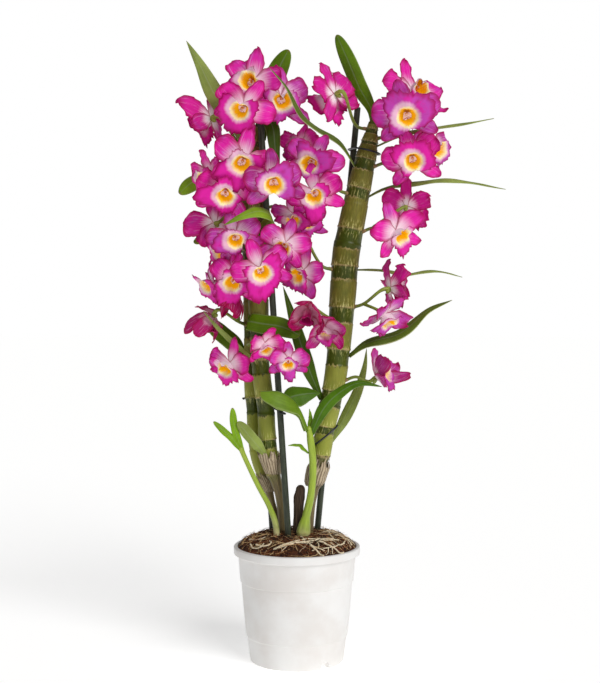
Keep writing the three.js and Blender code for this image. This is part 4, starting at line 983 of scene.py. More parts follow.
# Small parts in two tones of soft specks: both colours, how fine the specks are, and the roughness.
SPECKLED = {
    "husk_inside": ("b9a67c", "7c6544", 300.0, 0.6),
    "stalk_bract": ("a98a5c", "6d5b32", 260.0, 0.6),
    "column_flesh": ("e8944c", "b03c28", 420.0, 0.4),
    "column_cap": ("f0c8b0", "a83440", 700.0, 0.4),
}


def speckled_finish(name):
    first, second, scale, roughness = SPECKLED[name]
    wiring = Wiring(name, roughness)
    specks = wiring.noise(wiring.place(), scale, 5.0, 0.7)
    wiring.bump(specks, 0.0003, 0.7)
    return wiring.colour(wiring.lay(rgb(first), rgb(second), wiring.ease(specks, 0.35, 0.7)))


# ------------------------------------------------------------------ pot and coir

FOOT_LIFT = 8 * MM               # the floor is raised this far inside the foot ring
FLOOR = 2.2 * MM                 # thickness of the floor
BOSS_RADIUS = 15 * MM            # the middle of the floor reaches down to the table
LOW_STEP = 24 * MM               # heights of the two moulded steps of the wall
HIGH_STEP = 76 * MM
STEP_OUT = 0.9 * MM              # how far the wall steps out
NOTCH_START = -54                # degrees, the notch that looks front right
NOTCH_COUNT = 3
DRAIN_COUNT = 4
DRAIN_CIRCLE = 28 * MM
DRAIN_RADIUS = 3.2 * MM
CREASE = math.radians(38)        # edges sharper than this stay crisp


def moulded_step(radius, height, lead):
    """Outline of a step of the wall, which is narrower by lead just below it."""
    return [(radius - lead, height - 1 * MM), (radius, height - 0.2 * MM),
            (radius + STEP_OUT, height + 0.6 * MM),
            (radius + STEP_OUT + 0.2 * MM, height + 1.5 * MM)]


def pot_outline(pot):
    """From the middle of the pot's underside out, up, over the rim and back in."""
    foot, rim, top = pot.foot_radius, pot.rim_radius, pot.height
    floor_top = FOOT_LIFT + FLOOR
    roll = 1.3 * MM
    return [
        (0, 0), (BOSS_RADIUS, 0), (BOSS_RADIUS + 2 * MM, FOOT_LIFT),
        (foot - 3 * FLOOR, FOOT_LIFT), (foot - 2 * FLOOR, 0), (foot - 0.6 * MM, 0),
        *arc((foot - 0.2 * MM, 1.2 * MM), 1.2 * MM, -90, 0, 4),
        *moulded_step(foot + 3.7 * MM, LOW_STEP, 0.3 * MM), (foot + 7 * MM, 50 * MM),
        *moulded_step(foot + 9.2 * MM, HIGH_STEP, 0.1 * MM),
        (56.2 * MM, 100 * MM), (56.8 * MM, 101.6 * MM),
        *arc((rim - roll, top - 6.4 * MM), roll, -90, 0, 4),
        *arc((rim - roll, top - roll), roll, 0, 90, 5),
        (rim - 2.5 * MM, top), *arc((rim - 2.7 * MM, top - 0.9 * MM), 0.9 * MM, 90, 170, 3),
        (rim - 3.8 * MM, top - 5 * MM),
        (52.3 * MM, HIGH_STEP), (foot - 0.8 * MM, floor_top),
        (BOSS_RADIUS + 1 * MM, floor_top), (BOSS_RADIUS - 1 * MM, FLOOR), (0, FLOOR),
    ]


def cutters(pot):
    """The gates of the foot notches, each with a small tooth at its top, and the drain holes."""
    bm = bmesh.new()
    half = pot.notch_width / 2
    gate = [(-half, -1 * MM), (half, -1 * MM), (half * 0.45, pot.notch_height),
            (0, pot.notch_height - 2 * MM), (-half * 0.45, pot.notch_height)]
    for index in range(NOTCH_COUNT):
        turn = Matrix.Rotation(math.radians(NOTCH_START + 360 * index / NOTCH_COUNT), 4, "Z")
        verts = [bm.verts.new((pot.foot_radius - 8 * MM, side, height)) for side, height in gate]
        face = bm.faces.new(verts)
        made = bmesh.ops.extrude_face_region(bm, geom=[face])["geom"]
        far = [item for item in made if isinstance(item, bmesh.types.BMVert)]
        bmesh.ops.translate(bm, verts=far, vec=(12 * MM, 0, 0))
        bmesh.ops.transform(bm, matrix=turn, verts=verts + far)
    for index in range(DRAIN_COUNT):
        angle = TAU * (index + 0.5) / DRAIN_COUNT
        place = Matrix.Translation((DRAIN_CIRCLE * math.cos(angle), DRAIN_CIRCLE * math.sin(angle),
                                    FOOT_LIFT + FLOOR / 2))
        bmesh.ops.create_cone(bm, cap_ends=True, segments=24, radius1=DRAIN_RADIUS,
                              radius2=DRAIN_RADIUS, depth=3 * FLOOR, matrix=place)
    return add_object("pot_cutters", bm, [])


def mound_height(coir, radius):
    """Height of the coir's mound at a distance from the pot's axis."""
    mound = [(0, 0), (30, -0.4), (42, -3.2), (51, -7.4), (coir.edge_radius / MM, -12.4), (61, -11)]
    return coir.crown + between(mound, radius / MM) * MM


def on_mound(coir, x, y, lift):
    return Vector((x, y, mound_height(coir, math.hypot(x, y)) + lift))


def add_pot(pot):
    bm = bmesh.new()
    lathe(bm, pot_outline(pot), pot.sides)
    made = add_object("pot_shell", bm, [plastic_finish(pot)])
    tool = cutters(pot)
    cut = made.modifiers.new("Cut", "BOOLEAN")
    cut.object = tool
    cut.operation = "DIFFERENCE"
    cut.solver = "EXACT"
    evaluated = made.evaluated_get(bpy.context.evaluated_depsgraph_get())
    mesh = bpy.data.meshes.new_from_object(evaluated)
    made.modifiers.clear()
    made.data = mesh
    mesh.set_sharp_from_angle(angle=CREASE)
    bpy.data.objects.remove(tool)
    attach(made, BODY)
    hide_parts("pot")


BED_DEPTH = 14 * MM              # how far the visible bed reaches below the rim
# Outline of a loose fibre: (share of its length, share of its thickness).
FIBRE_LINE = [(0.0, 0.0), (0.02, 1.0), (0.35, 1.0), (0.7, 0.9), (0.98, 0.5), (1.0, 0.0)]


def add_coir(coir):
    """The bed of coir, with loose fibres and chips on it."""
    draw = random.Random("coir")
    bm = bmesh.new()
    radii = [coir.edge_radius * step / 26 for step in range(27)]
    outline = [(0, 10.6 * MM), (43 * MM, 10.6 * MM), (51.8 * MM, HIGH_STEP),
               (coir.edge_radius - 0.4 * MM, 104 * MM)]
    outline += [(radius, mound_height(coir, radius)) for radius in reversed(radii)]
    lathe(bm, outline, 120)
    top = coir.crown - BED_DEPTH
    for vert in bm.verts:
        if vert.co.z > top:
            inner = ease(math.hypot(vert.co.x, vert.co.y), coir.edge_radius, coir.edge_radius * 0.9)
            rough = noise.noise(vert.co * 160) * 0.9 + noise.noise(vert.co * 420) * 0.8 - 0.6
            vert.co.z += rough * MM * (0.3 + 0.7 * inner)
    add_piece("coir_bed", bm, [coir_finish(coir)], ["substrate"])

    bm = new_bm("tone")
    for _ in range(coir.fibres):
        radius = coir.edge_radius * 1.01 * math.sqrt(draw.random())
        angle = draw.uniform(0, TAU)
        start = Vector((radius * math.cos(angle), radius * math.sin(angle)))
        heading = Vector((1, 0))
        heading.rotate(Matrix.Rotation(draw.uniform(0, TAU), 2))
        reach = draw.uniform(5, 22) * MM
        rise = draw.uniform(0.0, 1.0) ** 3 * 4.5 * MM
        points = []
        for step in range(4):
            spot = start + heading * reach * step / 3
            spot += Vector((draw.uniform(-1, 1), draw.uniform(-1, 1))) * 1.3 * MM
            if spot.length > coir.edge_radius:
                spot *= coir.edge_radius / spot.length
            lift = draw.uniform(-0.5, 0.9) * MM + rise * step / 3
            points.append(on_mound(coir, spot.x, spot.y, lift))
        thick = draw.uniform(0.10, 0.32) * MM
        rings = [(share, thick * part) for share, part in FIBRE_LINE]
        tube(bm, Path(points), rings, 3, marks={"tone": draw.random() ** 1.6})
    for _ in range(coir.flakes):
        radius = coir.edge_radius * 0.97 * math.sqrt(draw.random())
        angle = draw.uniform(0, TAU)
        spot = on_mound(coir, radius * math.cos(angle), radius * math.sin(angle),
                        draw.uniform(-0.3, 0.8) * MM)
        turn = Matrix.Rotation(draw.uniform(0, TAU), 4, "Z")
        turn @= Matrix.Rotation(draw.uniform(-0.6, 0.6), 4, "X")
        size = Matrix.Diagonal((draw.uniform(1.2, 4.0) * MM, draw.uniform(0.6, 1.6) * MM,
                                draw.uniform(0.3, 0.9) * MM, 1))
        made = bmesh.ops.create_icosphere(bm, subdivisions=1, radius=0.5,
                                          matrix=Matrix.Translation(spot) @ turn @ size)
        for vert in made["verts"]:
            vert.co += Vector([draw.uniform(-1, 1) for _ in range(3)]) * 0.15 * MM
            vert[bm.verts.layers.float["tone"]] = draw.random() ** 2
    add_piece("coir_fibres", bm, [fibre_finish(coir)], ["substrate"])


ROOT_CLEAR = 0.65 * MM           # how far a root lies over the mound
MAIN_ROOT_SHARE = 0.62           # share of its radius in ROOTS that a main root has here


def laid_root(coir, bm, draw, route, radius, tone):
    """A root that follows a plan route over the mound, with small kinks of its own."""
    plan = Path([Vector((x, y, 0)) for x, y in route])
    steps = max(4, round(plan.length / (4 * MM)))
    points = []
    for step in range(steps + 1):
        spot = plan.at(step / steps)
        spot += Vector((draw.uniform(-1, 1), draw.uniform(-1, 1), 0)) * 0.5 * MM
        lift = radius + ROOT_CLEAR + draw.uniform(-0.5, 0.3) * MM
        points.append(on_mound(coir, spot.x, spot.y, lift))
    path = Path(points)

    def thickness(share):
        uneven = 1 + 0.14 * noise.noise(Vector((share * 30, radius * 9000, tone)))
        return radius * uneven * (1 - 0.35 * share)

    tube(bm, path, rounded(path, thickness, steps * 4), 8, marks={"tone": tone})
    return plan


# Roots that stand out: plan route, radius and how green they are.
NOTABLE_ROOTS = [
    ([(-1, -24), (2, -31), (6, -38)], 1.0, 0.9),
    ([(5, -20), (8, -27), (11, -33)], 0.9, 0.85),
    ([(-20, -47), (-14, -44), (-2, -41), (8, -37), (22, -29), (34, -25)], 0.95, 0.1),
    ([(12, -42), (19, -48), (25, -53)], 0.95, 0.15),
    ([(20, -34), (32, -37), (44, -40)], 1.0, 0.2),
    ([(-44, -24), (-40, -34), (-34, -37), (-31, -33)], 0.8, 0.3),
    ([(-38, -30), (-30, -38), (-24, -36), (-26, -31)], 0.9, 0.25),
    ([(-46, -10), (-36, -20), (-30, -16)], 0.7, 0.5),
    ([(30, 12), (36, 22), (48, 24), (54, 12)], 0.8, 0.2),
    ([(52, -14), (48, 0), (52, 14)], 0.8, 0.1),
]


def add_roots(coir):
    """Roots that lie in and on the coir, mostly on its right half."""
    draw = random.Random("roots")
    bm = new_bm("tone")
    plans = []
    for root in ROOTS:
        route = [(x * MM, y * MM) for x, y in root["route"]]
        radius = root["radius"] * MM * MAIN_ROOT_SHARE
        plans.append(laid_root(coir, bm, draw, route, radius, draw.uniform(0, 0.4)))
    for spots, radius, tone in NOTABLE_ROOTS:
        route = [(x * MM, y * MM) for x, y in spots]
        plans.append(laid_root(coir, bm, draw, route, radius * MM, tone))
    for _ in range(coir.side_roots):
        plan = plans[draw.randrange(len(ROOTS))]
        start = plan.at(draw.uniform(0.1, 0.9))
        heading = Vector((1, 0, 0))
        heading.rotate(Matrix.Rotation(draw.uniform(0, TAU), 3, "Z"))
        reach = draw.uniform(6, 18) * MM
        route = [start]
        for _ in range(3):
            heading.rotate(Matrix.Rotation(draw.uniform(-0.7, 0.7), 3, "Z"))
            spot = route[-1] + heading * reach / 3
            if spot.length > coir.edge_radius - 1 * MM:
                spot *= (coir.edge_radius - 1 * MM) / spot.length
            route.append(spot)
        laid_root(coir, bm, draw, [(spot.x, spot.y) for spot in route],
                  draw.uniform(0.35, 0.65) * MM, draw.uniform(0, 0.7))
    add_piece("coir_roots", bm, [root_finish(coir)], ["surface_roots"])


# ------------------------------------------------------------------ stems

CANE_PATHS = {name: Path(metres(cane["line"])) for name, cane in CANES.items()}
# Where an internode has its rings, as shares of it.
INTERNODE = (0.0, 0.012, 0.03, 0.06, 0.12, 0.2, 0.3, 0.4, 0.5, 0.57, 0.605, 0.62, 0.635, 0.68,
             0.76, 0.84, 0.91, 0.95, 0.975, 0.99)
FOOT_RINGS = 16                  # rings of a cane below its first node
RING_SPREAD = 0.02               # shares of an internode: how far a node's ring reaches,
SWELL_SPREAD = 0.07              # how far the soft swelling round it does,
SHEATH_END = (0.632, 0.61)       # where the sheath thins out, from its end back,
SHEATH_LIP = 0.6                 # and the middle of its thicker edge


def cane_radius(name, height):
    return between(CANES[name]["radii"], height / MM) * MM


def section_at(name, height, stems):
    """The middle and radius of a cane or stake at a height."""
    if name in CANES:
        path = CANE_PATHS[name]
        middle = path.at(path.share_at_height(height))
        return middle, cane_radius(name, height) + stems.sheath_thickness + stems.node_ring
    foot, top = metres(STAKES[name])
    return foot.lerp(top, (height - foot.z) / (top.z - foot.z)), stems.stake_radius


def cane_rings(name, stems):
    """Height, radius and count of internodes of each of a cane's rings."""
    line, nodes = CANES[name]["line"], CANES[name]["nodes"]
    foot, tip = line[0][2], line[-1][2]
    rings = []
    for step in range(FOOT_RINGS):
        height = foot + (nodes[0] - foot) * step / FOOT_RINGS
        rings.append((height * MM, cane_radius(name, height * MM), step / FOOT_RINGS - 1))
    for index, node in enumerate(nodes):
        length_here = (nodes[index + 1] if index + 1 < len(nodes) else tip) - node
        for share in INTERNODE:
            height = (node + length_here * share) * MM
            near = min(share, 1 - share)
            swell = stems.node_ring * math.exp(-(near / RING_SPREAD) ** 2) * 1.5
            swell += 0.35 * stems.node_ring * math.exp(-(near / SWELL_SPREAD) ** 2)
            swell += stems.sheath_thickness * ease(share, *SHEATH_END) * ease(share, 0.0, 0.02)
            swell += 0.5 * stems.sheath_thickness * math.exp(-((share - SHEATH_LIP) / 0.02) ** 2)
            rings.append((height, cane_radius(name, height) + swell, index + share))
    last = len(nodes)
    rings.append((tip * MM, cane_radius(name, tip * MM) * 0.75, last))
    return rings


def add_canes(stems):
    skin = cane_finish(stems)
    for name in CANES:
        path = CANE_PATHS[name]
        rings = cane_rings(name, stems)
        placed = [(path.share_at_height(height), radius) for height, radius, _ in rings]
        counts = [count for _, _, count in rings]
        placed = [(0.0, 0.0), *placed, (1.0, 0.0)]
        counts = [counts[0], *counts, counts[-1]]
        seed = len(name)

        def lump(u, row):
            turn = TAU * u
            where = Vector((math.cos(turn) * 1.3, math.sin(turn) * 1.3, counts[row] * 1.7 + seed))
            fine = Vector((math.cos(turn) * 6, math.sin(turn) * 6, counts[row] * 3 + seed))
            return (noise.noise(where) * 0.4 + noise.noise(fine) * 0.12) * MM

        bm = new_bm("internode")
        tube(bm, path, placed, stems.sides, side=Vector((0, 1, 0)), fixed=True, lump=lump,
             marks={"internode": counts})
        add_piece(f"{name}_skin", bm, [skin], [name])


# Loose papery sheaths: the cane, its lowest and highest height, how far the torn top flares,
# and the azimuth of its longest tongue.
HUSKS = {
    "husk_middle": ("cane_middle", 179, 201, 2.2, -150),
    "husk_right": ("cane_right", 167, 193, 1.6, -170),
    "husk_left": ("cane_left", 160, 176, 1.0, -60),
}


def add_husks(stems):
    paper = husk_finish("dry_sheath", stems.paper, stems.paper_rib)
    inner = speckled_finish("husk_inside")
    for name, (cane, low, high, flare, azimuth) in HUSKS.items():
        draw = random.Random(name)
        path = CANE_PATHS[cane]
        phase = draw.uniform(0, TAU)
        shares = [step / 14 for step in range(15)]
        bm = new_bm()

        def place(u, row):
            angle = math.radians(azimuth) + TAU * u
            torn = 0.16 * math.sin(7 * angle + phase) + 0.1 * math.sin(17 * angle)
            torn -= 0.25 * (1 - math.cos(TAU * u)) / 2
            height = (low + (high - low) * shares[row] * (1 + torn * shares[row])) * MM
            middle, radius = section_at(cane, height, stems)
            pleat = 0.25 * MM * math.sin(19 * angle + phase) * ease(shares[row], 0.05, 0.5)
            flared = flare * shares[row] ** 2 * (0.6 + 0.4 * math.cos(TAU * u))
            reach = radius + (0.5 + flared) * MM + pleat
            return Vector((middle.x + reach * math.cos(angle),
                           middle.y + reach * math.sin(angle), height))

        patch(bm, 72, shares, place, seam=True)
        add_piece(name, bm, [paper, inner], wall=0.3 * MM)


def add_stub(stems):
    """A dried-up cane foot: shrivelled, ribbed and torn at its top."""
    path = Path(metres(STUB["line"]))
    radii = [(path.share_at_height(height * MM), radius * MM) for height, radius in STUB["radii"]]

    def ribs(u, row):
        rough = noise.noise(Vector((u * 9, row * 0.3, 1)))
        return (0.5 * math.sin(7 * TAU * u + row * 0.12) + 0.35 * rough) * MM

    bm = new_bm()
    rings = rounded(path, lambda share: between(radii, share), 44)
    tube(bm, path, rings, 28, side=Vector((0, 1, 0)), fixed=True, lump=ribs)
    bark = husk_finish("stub_bark", stems.bark, stems.bark_rib)
    add_piece("stub_husk", bm, [bark], ["cane_old"])


STAKE_BEVEL = 0.5 * MM


def add_stakes(stems):
    coating = stake_finish(stems)
    for name, ends in STAKES.items():
        path = Path(metres(ends))
        radius = stems.stake_radius
        rings = [(0.0, 0.0), *((step / 40, radius) for step in range(40)),
                 (1 - STAKE_BEVEL / path.length, radius), (1.0, radius - STAKE_BEVEL), (1.0, 0.0)]
        bm = new_bm()
        tube(bm, path, rings, 24, side=Vector((0, 1, 0)))
        add_piece(f"{name}_rod", bm, [coating], [name])


TIE_CLEAR = 0.9 * MM             # room between a tie and its stems
TAIL = 7 * MM                    # length of a tie's twisted ends


def tie_loop(tie, stems):
    """The wire's middle line: a string pulled tight round its stems, sloped as the wire lies."""
    height, slope = tie["height"] * MM, tie["slope"]
    first, _ = section_at(tie["around"][0], height, stems)
    spots = []
    for name in tie["around"]:
        middle, radius = section_at(name, height, stems)
        for side in (-radius, 0, radius):
            centre, reach = section_at(name, height + slope * (middle.x + side - first.x), stems)
            reach += TIE_CLEAR + stems.wire_radius
            for step in range(24):
                angle = TAU * step / 24
                spots.append((centre.x + reach * math.cos(angle),
                              centre.y + reach * math.sin(angle)))
    ring = [Vector(spots[index]) for index in convex_hull_2d(spots)]
    return [Vector((spot.x, spot.y, height + slope * (spot.x - first.x) + MM)) for spot in ring]


def add_ties(stems):
    metal = wire_finish(stems)
    for name, tie in TIES.items():
        ring = tie_loop(tie, stems)
        if "open" in tie:
            low, high = (edge * MM for edge in tie["open"])
            front = sum(point.y for point in ring) / len(ring)
            kept = [not (low < point.x < high and point.y < front) for point in ring]
            start = next(i for i in range(len(ring)) if kept[i] and not kept[i - 1])
            order = [*range(start, len(ring)), *range(start)]
            ring = [ring[i] for i in order if kept[i]]
        else:
            # The loop starts and ends at the back, where its two ends are twisted together.
            back = max(range(len(ring)), key=lambda i: ring[i].y)
            ring = ring[back:] + ring[:back + 1]
            ring.append(ring[-1] + Vector((2 * MM, 1.6 * MM, 3 * MM)))
            ring.append(ring[-1] + Vector((-1 * MM, 1.2 * MM, TAIL / 2)))
        path = Path(ring)
        bm = new_bm()
        rings = rounded(path, lambda share: stems.wire_radius, 120)
        tube(bm, path, rings, 10, side=Vector((0, 0, 1)), fixed=True)
        add_piece(f"{name}_wire", bm, [metal], [name])


# ------------------------------------------------------------------ leaves and shoots

def leaf_share(share, blunt, foot, neck):
    """Half width of a strap leaf along its length, as a share of its widest place."""
    if blunt:
        tip = math.sqrt(max(0.0, 1 - max(0.0, (share - 0.62) / 0.38) ** 2.2))
    else:
        tip = min(1.0, 1.75 * (1 - share)) ** 0.85
        tip = tip * (1 - 0.12 * math.exp(-((share - 0.43) / 0.12) ** 2))
    return tip * (foot + (1 - foot) * ease(share, neck - 0.05, neck + 0.42))


def leaf_sheet(bm, path, leaf, settings, draw, across=10, material=0):
    """A strap leaf: a sheet with a midrib fold and softly waved edges."""
    face = Vector(leaf["face"])
    fold = leaf.get("fold", 0.22)
    outline = leaf.get("blunt", False), leaf.get("foot", 0.26), leaf.get("neck", 0)
    steps = settings.steps
    shares = [math.sin(math.pi / 2 * step / steps) ** 0.9 for step in range(steps + 1)]
    frames = []
    for share in shares:
        along = path.heading(share)
        side = along.cross(face).normalized()
        frames.append((path.at(share), side, side.cross(along)))
    phase, twist = draw.uniform(0, TAU), draw.uniform(-0.12, 0.12)
    waves = draw.uniform(2.2, 3.4)

    def place(u, row):
        middle, side, up = frames[row]
        off = 2 * u - 1
        half = leaf["width"] / 2 * MM * leaf_share(shares[row], *outline)
        reach = half / math.hypot(1, fold)
        drop = fold * reach * (math.sqrt(off * off + 0.012) - 0.11)
        ripple = settings.wave * off * off * math.sin(TAU * waves * shares[row] + phase + off)
        ripple *= math.sin(math.pi * shares[row])
        spot = middle + side * reach * off - up * (drop - ripple)
        return spot + up * (twist * off * reach * math.sin(math.pi * shares[row]))

    patch(bm, across, shares, place, material=material, seam=True)


def cane_foot(on, stems, sink):
    """Where a leaf or stalk leaves its cane, sunk a little into the skin, and the way out."""
    name, height, azimuth = on
    middle, radius = section_at(name, height * MM, stems)
    out = Vector((math.cos(math.radians(azimuth)), math.sin(math.radians(azimuth)), 0))
    return middle + out * (radius - sink), out


LEAF_SINK = 1.0 * MM             # how far leaves and stalks start inside their cane's skin
STALK_SINK = 1.5 * MM


def add_leaves(leaves, stems):
    looks = {leaf["finish"] for leaf in LEAVES.values()}
    finishes = {look: [leaf_finish(look, under) for under in (False, True)]
                for look in sorted(looks)}
    for name, leaf in LEAVES.items():
        foot, _ = cane_foot(leaf["on"], stems, LEAF_SINK)
        path = Path([foot, *metres(leaf["through"])])
        bm = new_bm()
        leaf_sheet(bm, path, leaf, leaves, random.Random(name))
        add_piece(f"{name}_blade", bm, finishes[leaf["finish"]], [name],
                  wall=leaves.thickness)


# Heights in metres between which a shoot's cream foot turns green, and the look of each leaf.
SHOOT_TURN = {"shoot_right": (0.118, 0.142), "shoot_left": (0.122, 0.150)}
SHOOT_LOOKS = {
    # The second and third leaves of the right shoot wear the darker green look, which is painted
    # shade.
    "shoot_right": ["broad", "shaded_green", "shaded_green", "young", "young"],
    "shoot_left": ["young", "young"],
}


def add_shoots(stems, leaves):
    looks = ("young", "broad", "shaded_green")
    skins = [leaf_finish(look, under) for look in looks for under in (False, True)]
    for name, shoot in SHOOTS.items():
        path = Path(metres(shoot["line"]))
        radii = [(path.share_at_height(height * MM), radius * MM)
                 for height, radius in shoot["radii"]]
        bm = new_bm()
        rings = rounded(path, lambda share: between(radii, share), 90)
        tube(bm, path, rings, 24, side=Vector((0, 1, 0)), fixed=True)
        add_piece(f"{name}_stem", bm, [shoot_finish(stems, *SHOOT_TURN[name])], [name])
        bm = new_bm()
        for index, (leaf, look) in enumerate(zip(shoot["leaves"], SHOOT_LOOKS[name])):
            draw = random.Random(f"{name} {index}")
            leaf_sheet(bm, Path(metres(leaf["through"])), leaf, leaves, draw, across=14,
                       material=2 * looks.index(look))
        add_piece(f"{name}_leaves", bm, skins, [name], wall=leaves.thickness)


# ------------------------------------------------------------------ blooms

# Sepals (narrow, behind) and petals (broad, in front): the angle of each, anticlockwise
# from +X, in the bloom's own frame, where +Z is the way that it faces and +Y its top.
SEPALS = (90, 217, 323)
PETALS = (20, 160)
TEPAL_ROWS = 18                  # rows and columns of faces on a tepal and on a lip
TEPAL_COLUMNS = 14
LIP_ROWS = 16
LIP_COLUMNS = 60
HEART = 3 * MM                   # radius at which the tepals part
TEPAL_START = 0.7 * HEART        # and how far out each of them starts
TURN_PLAY = 10                   # degrees by which the tepals stray round the bloom,
LEAN_PLAY = 14                   # and forward and back
PETAL_LIFT = 0.8 * MM            # how far the petals stand in front of the sepals
PETAL_TUCK = 1.2 * MM            # and inside them, in a bloom that is closed
FLAT = 1e-3                      # the least bow and closing that tepals are worked out with
LIP_RUFFLE = 0.6                 # share of the petals' ruffle that the lip has
HEART_SIDES = 12
BACK_REACH = 8 * MM              # how far behind a bloom its stalk turns into line with it
FORK_REACH = 9 * MM
FORK_RISE = 3.6 * MM
# Outline of the lip from its foot to its rim: (share of its radius, share of its depth).
LIP_LINE = [(0.18, 0.0), (0.32, 0.3), (0.38, 0.55), (0.43, 0.8), (0.5, 0.95), (0.61, 1.0),
            (0.8, 0.98), (1.0, 0.88)]
APRON_REACH = 0.3                # how much longer the lip is on its long side
HOOD_LEAN = 0.25                 # how far the lip's upper side leans forward
CUP_FOOT = math.radians(25)      # how much steeper a closed bloom's tepals stand at their feet
CUP_CURL = math.radians(120)     # and how far they curl in from there to their tips
COLUMN_LINE = [(0, 0.6, 0.5), (0, 1.4, 3.0), (0, 1.7, 5.6), (0, 1.2, 7.6)]
SPUR_LINE = [(0, 0.4, -0.6), (0, -1.6, -2.6), (0, -3.6, -5.2)]


def facing(azimuth, elevation):
    """The way a bloom faces: azimuth to the right of straight ahead, then upwards."""
    turn, tilt = math.radians(azimuth), math.radians(elevation)
    level = math.cos(tilt)
    return Vector((math.sin(turn) * level, -math.cos(turn) * level, math.sin(tilt)))


def bloom_place(bloom):
    forward = facing(*bloom["face"])
    up = (Vector((0, 0, 1)) - forward * forward.z).normalized()
    turn = Matrix((up.cross(forward), up, forward)).transposed().to_4x4()
    return (Matrix.Translation(Vector(bloom["at"]) * MM) @ turn
            @ Matrix.Rotation(math.radians(bloom.get("roll", 0)), 4, "Z")
            @ Matrix.Scale(bloom.get("size", 1), 4))


def tepal_width(share, petal):
    """Half width along a tepal, as a share of its widest place."""
    peak = 0.58 if petal else 0.5
    if share < peak:
        return 0.2 + 0.8 * math.sin(math.pi / 2 * share / peak) ** 1.15
    return (1 - ((share - peak) / (1 - peak)) ** (2.6 if petal else 2.2)) ** 0.5


def add_tepal(bm, place, settings, angle, petal, closing, draw, tone):
    span = (settings.petal_length if petal else settings.sepal_length) * draw.uniform(0.95, 1.03)
    width = (settings.petal_width if petal else settings.sepal_width) * draw.uniform(0.9, 1.1)
    angle += draw.uniform(-TURN_PLAY, TURN_PLAY)
    out = Vector((math.cos(math.radians(angle)), math.sin(math.radians(angle)), 0))
    side = Vector((-out.y, out.x, 0))
    lean = 8 if petal else 2
    foot = math.radians(lean + draw.uniform(-LEAN_PLAY, LEAN_PLAY)) + CUP_FOOT * closing
    bow = max(CUP_CURL * closing, FLAT) / span
    wave = settings.ruffle * (1.0 if petal else 0.5) * draw.uniform(0.7, 1.4)
    phase, waves = draw.uniform(0, TAU), draw.uniform(1.2, 2.2)
    twist = draw.uniform(-0.45, 0.45)
    curl = draw.uniform(-0.2, 0.4) * (1 - 0.6 * closing)
    cup = draw.uniform(-0.35, 0.35)
    shares = [math.sin(math.pi / 2 * step / TEPAL_ROWS) for step in range(TEPAL_ROWS + 1)]

    def spot(u, row):
        share = shares[row]
        off = 1 - 2 * u
        # The outline is notched, and more so towards the tip.
        breadth = tepal_width(share, petal)
        notch = 0.05 * share ** 3 * math.sin(5 * off + phase)
        notch += 0.03 * share ** 4 * math.sin(17 * off + phase)
        run = share * span * (1 + notch * breadth)
        frill = 0.09 * math.sin(11 * share + phase + off) + 0.05 * math.sin(33 * share)
        reach = width / 2 * breadth * (1 + off * off * share * frill)
        # A bloom that is still closed has its tepals curled in and wrapped round it.
        rise = foot + bow * (run - TEPAL_START)
        along = TEPAL_START + (math.sin(rise) - math.sin(foot)) / bow
        forward = (math.cos(foot) - math.cos(rise)) / bow - curl * share * share * run
        if petal:
            along -= closing * PETAL_TUCK
            forward += PETAL_LIFT
        edge = abs(off) ** 1.5 * share
        forward += cup * reach * off * off * share
        forward += wave * edge * math.sin(TAU * waves * share + phase + 1.5 * off)
        forward += 0.5 * wave * abs(off) ** 4 * share * math.sin(27 * share + 2 * phase + 3 * off)
        forward += twist * off * reach * share
        around = max(along, 0.6 * HEART) / max(closing, FLAT)
        wrap = reach * off / around
        along -= around * (1 - math.cos(wrap))
        return place @ (out * along + side * (around * math.sin(wrap)) + Vector((0, 0, forward)))

    marks = {"tone": tone + draw.uniform(-0.5, 0.5), "closing": closing}
    patch(bm, TEPAL_COLUMNS, shares, spot, marks=marks, seam=True)


def add_lip(bm, place, settings, bloom, draw, tone):
    """A funnel with a broad ruffled limb, longest on one side and leaning forward at its top."""
    line = Path([Vector((radius, 0, depth)) for radius, depth in LIP_LINE])
    shares = [step / LIP_ROWS for step in range(LIP_ROWS + 1)]
    outline = [line.at(share) for share in shares]
    opened = bloom.get("open", 1)
    flare = 0.1 + 0.9 * opened
    apron, limb = math.radians(bloom.get("apron", -90)), bloom.get("limb", 1)
    tilt = Matrix.Rotation(settings.lip_tilt, 4, "X")
    phase = draw.uniform(0, TAU)
    folds = draw.choice((4, 5, 6))
    lobes = [(count, draw.uniform(0.04, 0.12), draw.uniform(0, TAU)) for count in (2, 3, 4)]

    def spread(u, row):
        uneven = sum(reach * math.sin(count * TAU * u + start) for count, reach, start in lobes)
        longer = APRON_REACH * math.cos(TAU * u + apron) + limb - 1 + uneven
        return outline[row].x * (1 + 0.8 * uneven + longer * shares[row] ** 2)

    def spot(u, row):
        angle = -TAU * u
        share = shares[row]
        ruffle = math.sin(folds * angle + phase) + 0.5 * math.sin(3 * angle + 2 * phase)
        ruffle *= share ** 3
        notch = 0.05 * share ** 6 * (math.sin(19 * angle + phase) + math.sin(31 * angle))
        lean = max(0, math.sin(angle)) * share ** 3
        wide = settings.lip_radius * spread(u, row) * (1 + (flare - 1) * share)
        wide *= 1 + 0.04 * ruffle + notch
        deep = settings.lip_length * (outline[row].z + HOOD_LEAN * lean)
        deep += LIP_RUFFLE * settings.ruffle * ruffle
        point = Vector((wide * math.cos(angle), wide * math.sin(angle), deep + 0.5 * MM))
        return place @ (tilt @ point)

    marks = {"tone": tone, "spread": spread, "closing": 1 - opened}
    patch(bm, LIP_COLUMNS, shares, spot, material=2, marks=marks, seam=True)


